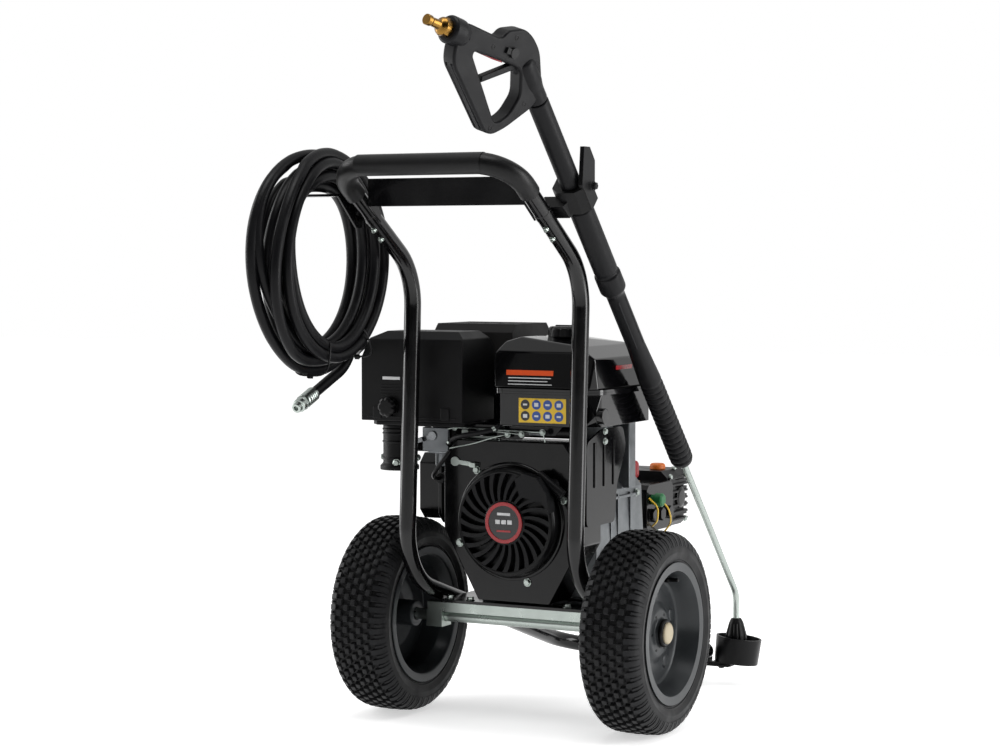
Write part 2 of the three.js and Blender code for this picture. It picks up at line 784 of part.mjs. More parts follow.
function pumpManifold() {
  const block = profileYZ(chamfered(282, bellFrontY, 290, 372, 8), 46, 102);
  const plugs = [];
  for (let i = 0; i < 3; i += 1) {
    const y = 302 + i * 34;
    plugs.push(bar(point(101, y, 318), point(110, y, 318), 12, 12, 6));
  }
  const unloader = bar(unloaderAt.clone().setZ(371), unloaderAt.clone().setZ(382), 13, 11, 16);
  return join(block, ...plugs, unloader);
}

const oilCapAt = point(56, 430, crankHeight + pumpHalfHeight + gap);

addToEngine("bell_housing", bellHousing(), "aluminium");
addToEngine("pump_crankcase", pumpCrankcase(), "blackPaint");
addToEngine("pump_manifold", pumpManifold(), "aluminium");
addToEngine(
  "unloader_knob",
  turned([[0, 0], [12, 0], [15, 5], [15, 25], [12, 30], [0, 31]], unloaderAt, alongZ, 14),
  "redPlastic",
);
const oilCapProfile = [[0, 0], [14, 0], [14, 8], [11, 11], [0, 11]];
const thermalProfile = [[0, 0], [9, 0], [9, 8], [12, 8], [12, 20], [9, 23], [0, 23]];
const outletProfile = [[0, 0], [12, 0], [12, 14], [15, 14], [15, 30], [10, 34], [10, 44], [0, 44]];
const inletProfile = [[0, 0], [11, 0], [11, 10], [17, 10], [17, 32], [0, 32]];
const downwards = point(0, 0, -1);
const manifoldUnder = 290 - gap;

addToEngine("pump_oil_cap", turned(oilCapProfile, oilCapAt, alongZ, 18), "orangePlastic");
addToEngine("thermal_valve", turned(thermalProfile, point(102 + gap, 302, 346), alongX, 16), "brass");
const outletAt = point(76, 360, manifoldUnder);
const inletAt = point(76, 308, manifoldUnder);
addToEngine("outlet_fitting", turned(outletProfile, outletAt, downwards, 16), "greenPlastic");
addToEngine("inlet_fitting", turned(inletProfile, inletAt, downwards, 16), "brass");

// ---------------------------------------------------------------- lance and gun
// The lance lies in its holder and bends down into the cup: its line runs through those two points.
const armHeightAtHolder = handleAt(holderY);
const lanceRise = (armHeightAtHolder + holderRise - lanceBendHeight) / (nozzleY - holderY);
const gunHeight = lanceBendHeight + lanceRise * (nozzleY - gunY);
const lanceDirection = point(0, nozzleY - gunY, lanceBendHeight - gunHeight).normalize();
const holderAt = (holderY - gunY) / lanceDirection.y;
const gunCorner = point(lanceX, gunY, gunHeight);
const lanceAt = (along) => gunCorner.clone().addScaledVector(lanceDirection, along);
const handleDirection = point(-0.24, -0.94, 0.23).normalize();
const guardDirection = lanceDirection
  .clone()
  .addScaledVector(handleDirection, -lanceDirection.dot(handleDirection))
  .normalize();
const gunHalfWidth = 13;

// A slab in the gun's own plane: first number back along the handle, second down into the guard.
function gunSlab(points, from, to) {
  return slab(outline(points), gunCorner, handleDirection, guardDirection, from, to);
}

function gunPoint(back, down, across = 0) {
  const third = handleDirection.clone().cross(guardDirection);
  return gunCorner
    .clone()
    .addScaledVector(handleDirection, back)
    .addScaledVector(guardDirection, down)
    .addScaledVector(third, across);
}

const fingerHole = [[102, 19], [30, 15], [2, 16], [-16, 51], [-8, 83], [11, 104], [102, 26]];

function gunBody() {
  const shell = gunSlab(
    [
      [142, -15], [100, -15], [62, -14], [55, -28], [24, -41], [2, -36], [-22, -21], [-48, 18],
      [-56, 40], [-48, 62], [-12, 104], [8, 120], [26, 121], [133, 49], [142, 26],
    ],
    -gunHalfWidth,
    gunHalfWidth,
  );
  const fingers = gunSlab(fingerHole, -30, 30);
  const barrel = bar(lanceAt(10), lanceAt(sleeveStart - gap), 19, 15.5, 16);
  const collar = bar(gunPoint(130, 4), gunPoint(158, 4), 21, 21, 20);
  const slot = gunSlab([[-3, 4], [27, 4], [27, 24], [-3, 24]], -6.8, 6.8);
  return cut(join(shell, barrel, collar), fingers, slot);
}

const triggerPivot = [9, 14];

function trigger() {
  const [back, down] = triggerPivot;
  const boss = bar(gunPoint(back, down, -6), gunPoint(back, down, 6), 6.5);
  const arm = gunSlab([[7, 19], [12, 10], [65, 47], [62, 56]], -6, 6);
  return join(boss, arm);
}

function triggerLatch() {
  const disc = bar(gunPoint(30, -2, gunHalfWidth + gap), gunPoint(30, -2, gunHalfWidth + 5), 8);
  const tab = gunSlab([[30, -6], [30, 2], [46, 3], [46, -6]], gunHalfWidth + gap, gunHalfWidth + 4);
  return join(disc, tab);
}

const thickStart = holderAt + holderLength / 2 + 6; // along the lance, just past the holder

function lanceSleeve() {
  const end = sleeveEnd - sleeveStart;
  const at = (along) => along - sleeveStart;
  const profile = [
    [0, 0], [sleeveRadius, 0], [sleeveRadius, at(thickStart)], [sleeveThickRadius, at(thickStart + 1)],
    [sleeveThickRadius, at(435)], [21.5, at(438)], [21.5, at(470)], [15, at(480)], [15, at(600)],
    [19, at(690)], [19.5, at(800)], [20, at(870)], [16, end], [0, end],
  ];
  const sleeve = turned(profile, lanceAt(sleeveStart), lanceDirection, 20);
  const bore = bar(lanceAt(sleeveEnd - 55), lanceAt(sleeveEnd + 5), lanceTubeRadius + gap);
  return cut(sleeve, bore);
}

function lanceTube() {
  const bottom = nozzleTop + gap;
  const bend = point(lanceX, nozzleY, lanceBendHeight);
  const route = [lanceAt(sleeveEnd - 54), bend, point(lanceX, nozzleY, bottom)];
  return tube(route, 45, lanceTubeRadius, { sides: 10 });
}

function nozzle() {
  const profile = [
    [0, 0], [9, 0], [13, 8], [nozzleRadius - 1, 30], [nozzleRadius, nozzleLength], [0, nozzleLength],
  ];
  const cone = turned(profile, point(lanceX, nozzleY, nozzleTop), point(0, 0, -1), 20);
  const mouth = bar(
    point(lanceX, nozzleY, nozzleTop - nozzleLength - 2),
    point(lanceX, nozzleY, nozzleTop - nozzleLength + 12),
    13,
  );
  return cut(cone, mouth);
}

const nipple = [[0, 0], [13, 0], [13.5, 12], [11, 15], [7, 18], [6.5, 34], [8, 36], [8, 44], [0, 44]];

add("gun_body", gunBody(), "blackPlastic");
add("trigger", trigger(), "blackPlastic");
add("trigger_latch", triggerLatch(), "redPlastic");
add("gun_inlet", turned(nipple, gunPoint(158 + gap, 4), handleDirection, 18), "brass");
add("lance_sleeve", lanceSleeve(), "blackPlastic");
add("lance_tube", lanceTube(), "zinc");
add("nozzle", nozzle(), "blackPlastic");

// The cradle: a trough square to the lance, open upwards and forwards, on a block over the frame tube.
function lanceHolder() {
  const opening = alongX.clone().cross(lanceDirection);
  const middle = lanceAt(holderAt);
  const floor = sleeveRadius + 0.6;
  const wall = sleeveThickRadius + 1;
  const outer = wall + holderWall;
  const half = holderLength / 2;
  const trough = [
    [-outer, 14], [-outer, -12], [-14, -floor - 6], [14, -floor - 6], [outer, -12], [outer, 14],
  ];
  const inside = [
    [-wall, 60], [-wall, -5], [-11, -floor], [11, -floor], [wall, -5], [wall, 60],
  ];
  const cradle = slab(outline(trough), middle, alongX, opening, -half, half);
  const hollow = slab(outline(inside), middle, alongX, opening, -90, 90);
  const top = armHeightAtHolder + holderWallHeight;
  const wallOutline = [
    [middle.y - 30, middle.z + 12], [middle.y + 4, middle.z - 24], [middle.y + 14, middle.z - 4],
    [middle.y + 14, top - 20], [middle.y - 4, top], [middle.y - 24, top],
  ];
  const outerWall = profileYZ(wallOutline, lanceX + wall, lanceX + outer);
  const armNormal = point(0, handleRise, 1).normalize();
  const seat = point(frameHalfWidth, middle.y - 8, handleAt(middle.y - 8));
  const block = slab(
    outline([
      [-12, tubeRadius + gap], [28, tubeRadius + gap], [36, 26], [36, 34], [-8, 34], [-12, 30],
    ]),
    seat,
    alongX,
    armNormal,
    -2,
    half + 6,
  );
  const sleeveRoom = bar(lanceAt(thickStart - 1), lanceAt(thickStart + 80), sleeveThickRadius + 2 * gap);
  return cut(join(cradle, block, outerWall), hollow, sleeveRoom);
}

function nozzleCup() {
  const centre = point(lanceX, nozzleY, cupBottom);
  const lean = point(0.1, 0.06, 1).normalize();
  const profile = [
    [0, 0], [cupRadius - 2, 0], [cupRadius, cupHeight], [cupRadius - 4, cupHeight],
    [cupRadius - 6, 5], [0, 5],
  ];
  const cup = turned(profile, centre, lean, 28);
  const strapY = nozzleY - 28;
  const under = cupBottom - 4;
  const strap = box(frameHalfWidth - 36, lanceX, strapY - 10, strapY + 10, under, cupBottom - 0.6);
  const web = box(lanceX - 34, lanceX + 4, strapY - 8, strapY + 10, under + 1, cupBottom + 4);
  const saddleTop = railAt(strapY) - 4;
  const saddle = box(frameHalfWidth - 24, frameHalfWidth, strapY - 8, strapY + 8, under + 1, saddleTop);
  return cut(join(cup, strap, web, saddle), frontBar(tubeRadius + gap));
}

// ---------------------------------------------------------------- hose and hook
const coilHeight = handleAt(coilY) - coilDrop;

function hoseHook() {
  const seatX = -frameHalfWidth - tubeRadius - gap;
  const plateX = -frameHalfWidth - gripRadius - gap;
  const tipX = coilX - coilHalfWidth - 10;
  const halfTongue = 20;
  const tongueTop = coilHeight + Math.sqrt(coilInner ** 2 - halfTongue ** 2) - 1;
  const tongue = box(tipX, plateX, coilY - halfTongue, coilY + halfTongue, tongueTop - 4, tongueTop);
  const lip = box(tipX, tipX + 3, coilY - halfTongue, coilY + halfTongue, tongueTop - 4, tongueTop + 10);
  const boltY = coilY + 46;
  const boltHeight = handleAt(boltY);
  const plate = profileYZ(
    [
      [coilY - halfTongue, tongueTop - 1], [coilY + halfTongue, tongueTop - 1], [boltY + 14, boltHeight],
      [boltY + 10, boltHeight - 26], [boltY - 8, boltHeight - 26],
    ],
    plateX - 3,
    plateX,
  );
  const spacer = bar(point(plateX - 1, boltY, boltHeight), point(seatX, boltY, boltHeight), 8, 8, 12);
  return join(tongue, lip, plate, spacer);
}

// The free end leaves the outermost turn below and runs back; the other end points forward.
const tailDirection = point(0, -0.927, -0.375).normalize();
const coilPoint = (x, y, z) => point(coilX + x, coilY + y, coilHeight + z);
const tailStart = coilPoint(-22, 82, -189);
const tailPoints = [0, 30, 60, 84].map((along) => tailStart.clone().addScaledVector(tailDirection, along));
const tailEnd = tailStart.clone().addScaledVector(tailDirection, 84 + gap);
const otherEnd = coilPoint(-21, 150, -144);
const otherDirection = point(-69, 73, -23);
const couplingProfile = [
  [0, 0], [12, 0], [12, 30], [10.5, 33], [10.5, 38], [11, 38], [11, 46], [8, 47], [8, 56], [0, 56],
];

const sleeveLength = 44;
const sleevedProfile = couplingProfile.map(([radius, along]) => [radius, along ? along + sleeveLength : 0]);

function hoseCoil() {
  const c = coilHalfWidth;
  const profile = [
    [coilInner, -c + 14], [coilInner + 16, -c], [coilOuter - 16, -c], [coilOuter, -c + 14],
    [coilOuter, c - 14], [coilOuter - 16, c], [coilInner + 16, c], [coilInner, c - 14],
  ];
  return ring(profile, point(coilX, coilY, coilHeight), alongX, 40);
}

add("lance_holder", lanceHolder(), "blackPlastic");
add("nozzle_cup", nozzleCup(), "blackPlastic");
add("hose_hook", hoseHook(), "blackPaint");
add("hose_coil", hoseCoil(), "rubber");
add("hose_tail", hose(tailPoints, hoseRadius, 6), "rubber");
add("hose_coupling", turned(couplingProfile, tailEnd, tailDirection, 16), "zinc");
add("hose_end_coupling", turned(sleevedProfile, otherEnd, otherDirection, 16), "zinc");

// Moves the machine so that its own footprint, without the hose, is centred on the origin.
const footprint = new THREE.Box3();
machine.updateMatrixWorld(true);
for (const mesh of machine.children) {
  if (!mesh.name.startsWith("hose_") || mesh.name === "hose_hook") footprint.expandByObject(mesh, true);
}
const middle = footprint.getCenter(new THREE.Vector3());
machine.position.set(-middle.x, -middle.y, -footprint.min.z);

export default machine;
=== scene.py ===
"""Dresses a petrol pressure washer: its tube frame, wheels, engine, pump, lance and hose."""

import logging
import math
from dataclasses import dataclass, field
from enum import Enum
from typing import Any, Iterable, Mapping, Optional, Sequence

import bmesh
import bpy
from mathutils import Matrix, Vector


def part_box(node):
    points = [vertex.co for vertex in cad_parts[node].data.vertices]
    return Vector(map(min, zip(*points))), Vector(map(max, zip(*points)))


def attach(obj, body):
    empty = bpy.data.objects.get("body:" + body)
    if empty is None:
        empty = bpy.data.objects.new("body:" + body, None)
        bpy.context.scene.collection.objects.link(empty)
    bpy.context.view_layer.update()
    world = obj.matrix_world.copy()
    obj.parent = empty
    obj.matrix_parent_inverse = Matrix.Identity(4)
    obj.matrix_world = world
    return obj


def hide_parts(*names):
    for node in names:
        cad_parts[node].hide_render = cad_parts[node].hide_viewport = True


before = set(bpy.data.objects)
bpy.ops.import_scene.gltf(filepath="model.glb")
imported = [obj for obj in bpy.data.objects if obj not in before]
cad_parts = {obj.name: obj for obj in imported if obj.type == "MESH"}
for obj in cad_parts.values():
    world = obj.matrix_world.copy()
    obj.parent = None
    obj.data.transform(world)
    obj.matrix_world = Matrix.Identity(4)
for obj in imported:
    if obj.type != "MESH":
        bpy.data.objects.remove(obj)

log = logging.getLogger("pressure_washer")
MM = 0.001
UP = Vector((0, 0, 1))
ALONG_X = Vector((1, 0, 0))
ALONG_Y = Vector((0, 1, 0))
Pairs = Sequence[tuple[float, float]]


def axle_line() -> float:
    """Returns the axle's place along the machine, which the drawing counts from."""
    low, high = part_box("axle_bar")
    return (low.y + high.y) / 2


AXLE_Y = axle_line()


def at(x: float, y: float, z: float) -> Vector:
    """Turns a drawing place in millimetres into metres in the shared frame.

    Args:
        x: Distance to the right of the middle.
        y: Distance in front of the axle.
        z: Height over the ground.

    Returns:
        The same place in metres.
    """
    return Vector((x * MM, y * MM + AXLE_Y, z * MM))


# ---------------------------------------------------------------- finishes
def linear(code: str) -> tuple[float, float, float, float]:
    """Turns an sRGB hex colour into the linear colour that a shader takes.

    Args:
        code: Six hex digits after a hash.

    Returns:
        Red, green, blue and a full alpha.
    """
    shares = [int(code[i : i + 2], 16) / 255 for i in (1, 3, 5)]
    curve = [c / 12.92 if c <= 0.04045 else ((c + 0.055) / 1.055) ** 2.4 for c in shares]
    return (curve[0], curve[1], curve[2], 1.0)


def put(
    tree: bpy.types.NodeTree,
    kind: str,
    settings: Optional[Mapping[str, Any]] = None,
    inputs: Optional[Mapping[Any, Any]] = None,
) -> bpy.types.Node:
    """Adds one node to a tree with its settings and links.

    Args:
        tree: The tree that takes the node.
        kind: The node's type, after "ShaderNode".
        settings: Values set on the node itself.
        inputs: Values or sockets given to its inputs, by name or number.

    Returns:
        The new node.
    """
    node = tree.nodes.new("ShaderNode" + kind)
    for name, value in (settings or {}).items():
        setattr(node, name, value)
    for name, value in (inputs or {}).items():
        if isinstance(value, bpy.types.NodeSocket):
            tree.links.new(value, node.inputs[name])
        else:
            node.inputs[name].default_value = value
    return node


class Grain(Enum):
    """The kinds of relief that a surface has after it is made."""

    PEEL = "slow ripples of sprayed and baked paint"
    SPARK = "fine even pits from a spark-eroded mould"
    CAST = "coarse pebbled skin of a sand or die casting"
    DRAWN = "fine lines along one direction"
    SPANGLE = "patches of electroplated crystals"
    FOAM = "open cells of foam rubber"
    WRAP = "cross-wound tape marks on cured hose"
    SMOOTH = "almost nothing, as on printed film"


@dataclass(frozen=True)
class Finish:
    """One material: what it is, and how its surface was made.

    Lengths are in millimetres: grain_mm is the spacing of the relief and relief_mm its height,
    and patch_mm is the size of the slow changes of colour and gloss. slot names the record's slot
    for it, and is not used.
    """

    name: str
    slot: str
    colour: str
    second: str
    roughness: float
    grain: Grain
    grain_mm: float
    relief_mm: float
    patch_mm: float = 40.0
    gloss_change: float = 0.06
    metallic: float = 0.0
    ior: float = 1.5
    coat: float = 0.0
    coat_roughness: float = 0.05
    sheen: float = 0.0
    specular: float = 0.5
    worn: Optional[str] = None
    stretch: tuple[float, float, float] = (1.0, 1.0, 1.0)

    def material(self) -> bpy.types.Material:
        """Builds the material once, and gives the same one back after that.

        Returns:
            The material with its nodes.
        """
        known = bpy.data.materials.get(self.name)
        if known:
            return known
        made = bpy.data.materials.new(self.name)
        made.use_nodes = True
        tree = made.node_tree
        tree.nodes.clear()
        place = put(tree, "TexCoord").outputs["Object"]
        patches = put(
            tree,
            "TexNoise",
            inputs={"Vector": place, "Scale": 1 / (self.patch_mm * MM), "Detail": 3.0},
        )
        mix = put(
            tree,
            "Mix",
            {"data_type": "RGBA"},
            {0: patches.outputs["Fac"], 6: linear(self.colour), 7: linear(self.second)},
        ).outputs[2]
        if self.worn:
            mix = self.worn_edges(tree, mix)
        relief = self.relief(tree, place)
        gloss = put(
            tree,
            "MapRange",
            inputs={
                "Value": patches.outputs["Fac"],
                "From Min": 0.3,
                "From Max": 0.7,
                "To Min": max(0.02, self.roughness - self.gloss_change),
                "To Max": min(1.0, self.roughness + self.gloss_change),
            },
        )
        bump = put(
            tree, "Bump", inputs={"Height": relief, "Strength": 1.0, "Distance": self.relief_mm * MM}
        )
        shader = put(
            tree,
            "BsdfPrincipled",
            inputs={
                "Base Color": mix,
                "Roughness": gloss.outputs[0],
                "Normal": bump.outputs[0],
                "Metallic": self.metallic,
                "IOR": self.ior,
                "Coat Weight": self.coat,
                "Coat Roughness": self.coat_roughness,
                "Sheen Weight": self.sheen,
                "Specular IOR Level": self.specular,
            },
        )
        put(tree, "OutputMaterial", inputs={"Surface": shader.outputs[0]})
        return made

    def worn_edges(
        self, tree: bpy.types.NodeTree, colour: bpy.types.NodeSocket
    ) -> bpy.types.NodeSocket:
        """Lightens the sharpest edges, where handling rubs them.

        Args:
            tree: The material's tree.
            colour: The colour before wear.

        Returns:
            The colour with its edges rubbed.
        """
        sharp = put(tree, "NewGeometry").outputs["Pointiness"]
        share = put(
            tree,
            "MapRange",
            inputs={"Value": sharp, "From Min": 0.53, "From Max": 0.62, "To Max": 0.35},
        )
        return put(
            tree,
            "Mix",
            {"data_type": "RGBA"},
            {0: share.outputs[0], 6: colour, 7: linear(self.worn or self.colour)},
        ).outputs[2]

    def relief(
        self, tree: bpy.types.NodeTree, place: bpy.types.NodeSocket
    ) -> bpy.types.NodeSocket:
        """Draws the height of the surface's grain.

        Args:
            tree: The material's tree.
            place: The place on the object.

        Returns:
            A height from 0 to 1.
        """
        scale = 1 / (self.grain_mm * MM)
        spot = put(
            tree, "Mapping", inputs={"Vector": place, "Scale": self.stretch}
        ).outputs[0]
        if self.grain in (Grain.FOAM, Grain.CAST, Grain.SPANGLE):
            cells = put(
                tree,
                "TexVoronoi",
                {"feature": "F1" if self.grain is Grain.FOAM else "SMOOTH_F1"},
                {"Vector": spot, "Scale": scale},
            )
            return cells.outputs["Distance"]
        if self.grain is Grain.WRAP:
            wave = put(
                tree,
                "TexWave",
                {"bands_direction": "DIAGONAL"},
                {"Vector": spot, "Scale": scale * 0.16, "Distortion": 1.5, "Detail": 2.0},
            )
            return wave.outputs["Fac"]
        detail = {Grain.SPARK: 4.0, Grain.DRAWN: 2.0}.get(self.grain, 1.0)
        noise = put(
            tree, "TexNoise", inputs={"Vector": spot, "Scale": scale, "Detail": detail}
        )
        return noise.outputs["Fac"]


# Powder-coated steel tube: one thick baked coat, so a deep black with clean bright streaks and
# the slow ripple of orange peel, about 5 mm from crest to crest.
FRAME_PAINT = Finish(
    "black_powder_coat_on_steel", "frame_paint", "#040405", "#070708", 0.17, Grain.PEEL, 5.0, 0.008,
    specular=0.3, coat=0.15, coat_roughness=0.05, worn="#151517",
)
# Pressed sheet steel in black stoving enamel: the glossiest paint here, nearly a mirror.
ENGINE_PAINT = Finish(
    "black_stoving_enamel_on_pressed_steel", "engine_paint", "#040405", "#060607", 0.16,
    Grain.PEEL, 7.0, 0.01, specular=0.2, coat=0.15, coat_roughness=0.06, worn="#141416",
)
TANK_PAINT = Finish(
    "black_lacquer_on_drawn_steel_tank", "tank_paint", "#030304", "#050506", 0.09, Grain.PEEL, 9.0, 0.006,
    specular=0.32, coat=0.3, coat_roughness=0.03, worn="#131315",
)
# Heat-proof silicone paint on steel sheet: dead flat, slightly grey where it has been hot.
HEAT_PAINT = Finish(
    "heat_proof_silicone_paint", "heat_paint", "#0a0a0b", "#121112", 0.55, Grain.SPARK, 1.2, 0.03,
    patch_mm=25, specular=0.14, worn="#232120",
)
# Graphite enamel on pressed wheel discs: satin, with soft broad highlights.
RIM_PAINT = Finish(
    "graphite_satin_enamel_on_wheel_disc", "rim_paint", "#26282a", "#2d3032", 0.34, Grain.PEEL, 3.0, 0.012,
    patch_mm=60, metallic=0.25, specular=0.25, coat=0.1, coat_roughness=0.2, worn="#3d4042",
)
# Bright zinc plating, blue passivated: a pale silver with a faint green cast, almost smooth.
ZINC = Finish(
    "bright_zinc_plated_steel", "zinc_plate", "#abb3ae", "#a2aaa5", 0.3, Grain.DRAWN, 6.0, 0.001,
    patch_mm=30, gloss_change=0.05, metallic=1.0,
)
STEEL = Finish(
    "turned_mild_steel", "steel", "#8f9193", "#75787b", 0.32, Grain.DRAWN, 0.8, 0.015,
    patch_mm=15, gloss_change=0.1, metallic=1.0, stretch=(1.0, 0.08, 1.0),
)
# Die-cast aluminium as it leaves the mould: light grey, dull, pebbled at about 1.6 mm.
ALUMINIUM = Finish(
    "die_cast_aluminium", "cast_aluminium", "#7f8284", "#6a6d70", 0.44, Grain.CAST, 1.6, 0.07,
    patch_mm=22, gloss_change=0.1, metallic=0.92,
)
BRASS = Finish(
    "turned_brass", "brass", "#8f6c34", "#755626", 0.26, Grain.DRAWN, 0.9, 0.015,
    patch_mm=8, metallic=1.0, stretch=(1.0, 1.0, 0.1),
)
# Moulded glass-filled nylon: dark grey-black with an even spark grain, a satin sheen on edges.
NYLON = Finish(
    "moulded_black_nylon", "black_plastic", "#070708", "#0b0b0c", 0.36, Grain.SPARK, 1.4, 0.02,
    patch_mm=30, specular=0.17, worn="#1b1b1d",
)
CLEANER_ABS = Finish(
    "moulded_black_abs_with_leather_grain", "cleaner_plastic", "#080809", "#0d0d0e", 0.42,
    Grain.SPARK, 1.1, 0.04, patch_mm=45, specular=0.15, worn="#1a1a1c",
)
GUN_NYLON = Finish(
    "moulded_charcoal_polypropylene", "gun_plastic", "#0c0c0e", "#121214", 0.42, Grain.SPARK, 1.0, 0.03,
    patch_mm=25, specular=0.15, worn="#252528",
)
# Closed-cell nitrile foam sleeve: dull, with cells drawn at 1.6 mm, coarser than the real 0.5 mm
# so that they show.
GRIP_FOAM = Finish(
    "black_nitrile_foam", "grip_foam", "#070708", "#0c0c0d", 0.4, Grain.FOAM, 1.6, 0.04,
    patch_mm=20, specular=0.22, sheen=0.05,
)
# Carbon-filled tyre rubber: near black, dull, with a faint grey bloom that shows as sheen.
TYRE_RUBBER = Finish(
    "carbon_black_tyre_rubber", "tyre_rubber", "#0b0b0c", "#141416", 0.52, Grain.SPARK, 2.2, 0.05,
    patch_mm=30, gloss_change=0.12, specular=0.17, sheen=0.06, worn="#242527",
)
FOOT_RUBBER = Finish(
    "moulded_nitrile_foot", "foot_rubber", "#0c0c0d", "#131314", 0.65, Grain.SPARK, 1.5, 0.05, specular=0.14
)
# Cured wrapped-cover hose: semi-matt, with the marks of its cloth tape across it.
HOSE_RUBBER = Finish(
    "wrapped_cover_hose_rubber", "hose_rubber", "#08080a", "#0e0e10", 0.4, Grain.WRAP, 2.5, 0.04,
    patch_mm=60, gloss_change=0.1, specular=0.15,
)
RED_PLASTIC = Finish(
    "moulded_red_nylon", "red_plastic", "#7d0a12", "#920f18", 0.36, Grain.SPARK, 1.2, 0.03, patch_mm=12,
    specular=0.4,
)
ORANGE_PLASTIC = Finish(
    "moulded_orange_polyethylene", "orange_plastic", "#b5560f", "#c4671b", 0.42, Grain.SPARK, 1.2, 0.03,
    specular=0.4,
)
GREEN_PLASTIC = Finish(
    "moulded_green_nylon", "green_plastic", "#12592e", "#1a6b3a", 0.36, Grain.SPARK, 1.2, 0.03, specular=0.4
)
CREAM_PLASTIC = Finish(
    "moulded_cream_polyethylene", "cream_plastic", "#a1957c", "#aea38b", 0.42, Grain.SPARK, 1.4, 0.03,
    specular=0.4,
)
# Printed vinyl film: flat colour under a clear laminate, so it takes a sharp highlight.
YELLOW_FILM = Finish(
    "printed_yellow_vinyl", "label_yellow", "#d0a80c", "#d8b318", 0.3, Grain.SMOOTH, 6.0, 0.005, coat=0.3
)
BLUE_FILM = Finish(
    "printed_blue_vinyl", "label_blue", "#123a80", "#17448e", 0.3, Grain.SMOOTH, 6.0, 0.005, coat=0.3
)
WHITE_FILM = Finish(
    "printed_white_vinyl", "label_white", "#bfc0c1", "#cccccd", 0.35, Grain.SMOOTH, 6.0, 0.005, coat=0.3
)
ORANGE_FILM = Finish(
    "printed_orange_vinyl", "orange_plastic", "#c84410", "#d24d18", 0.3, Grain.SMOOTH, 6.0, 0.005, coat=0.3
)
RED_FILM = Finish(
    "printed_red_vinyl", "red_plastic", "#8e0812", "#9c0f19", 0.3, Grain.SMOOTH, 6.0, 0.005, coat=0.3
)
BLACK_FILM = Finish(
    "printed_black_vinyl", "black_plastic", "#060607", "#0a0a0b", 0.3, Grain.SMOOTH, 6.0, 0.005, coat=0.3
)


# ---------------------------------------------------------------- making pieces
def keep(
    name: str,
    shape: bmesh.types.BMesh,
    finish: Finish,
    body: str = "root",
    stands_for: Sequence[str] = (),
    crease: float = 38.0,
    round_all_over: bool = False,
) -> bpy.types.Object:
    """Makes a piece of a finished shape, and sets what it rides on.

    Args:
        name: The piece's name.
        shape: Its surface, which is used up.
        finish: Its material.
        body: The moving body that carries it.
        stands_for: CAD nodes that it shows in place of.
        crease: Edges that turn more than this many degrees stay sharp.
        round_all_over: True where no face is meant to look flat, as on a bent tube.

    Returns:
        The new object.
    """
    bmesh.ops.recalc_face_normals(shape, faces=shape.faces)
    mesh = bpy.data.meshes.new(name)
    shape.to_mesh(mesh)
    shape.free()
    mesh.polygons.foreach_set("use_smooth", [True] * len(mesh.polygons))
    mesh.set_sharp_from_angle(angle=math.radians(crease))
    mesh.materials.append(finish.material())
    piece = bpy.data.objects.new(name, mesh)
    bpy.context.scene.collection.objects.link(piece)
    if not round_all_over:
        flat = piece.modifiers.new("flat_faces_stay_flat", "WEIGHTED_NORMAL")
        flat.keep_sharp = True
    if stands_for:
        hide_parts(*stands_for)
    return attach(piece, body)


def round_edges(shape: bmesh.types.BMesh, width: float, steps: int, sharper_than: float) -> None:
    """Rounds a shape's sharp edges.

    Args:
        shape: The shape to work on.
        width: Distance in millimetres from the old edge to the new one.
        steps: Faces across the rounding.
        sharper_than: Only edges that turn more than this many degrees are rounded.
    """
    edges = [
        e
        for e in shape.edges
        if len(e.link_faces) == 2 and e.calc_face_angle(0) > math.radians(sharper_than)
    ]
    if edges:
        bmesh.ops.bevel(
            shape,
            geom=edges,
            offset=width * MM,
            offset_type="OFFSET",
            segments=steps,
            profile=0.5,
            affect="EDGES",
            clamp_overlap=True,
        )


def drawn_shape(node: str) -> bmesh.types.BMesh:
    """Copies a CAD node's surface, with its flat faces made whole again.

    Args:
        node: The CAD node's name.

    Returns:
        The copied surface.
    """
    shape = bmesh.new()
    shape.from_mesh(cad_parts[node].data)
    bmesh.ops.remove_doubles(shape, verts=shape.verts, dist=0.00002)
    bmesh.ops.dissolve_limit(
        shape, angle_limit=math.radians(1.0), verts=shape.verts, edges=shape.edges
    )
    return shape


def dress(
    node: str,
    finish: Finish,
    body: str = "root",
    width: float = 1.2,
    steps: int = 2,
    sharper_than: float = 35.0,
) -> bpy.types.Object:
    """Shows a CAD node with rounded edges and its real finish.

    Args:
        node: The CAD node, which the new piece stands for.
        finish: Its material.
        body: The body that carries it.
        width: Size of the rounding in millimetres.
        steps: Faces across the rounding.
        sharper_than: Edges below this angle in degrees are left for smooth shading.

    Returns:
        The new piece.
    """
    shape = drawn_shape(node)
    round_edges(shape, width, steps, sharper_than)
    return keep(node + "_made", shape, finish, body, [node])


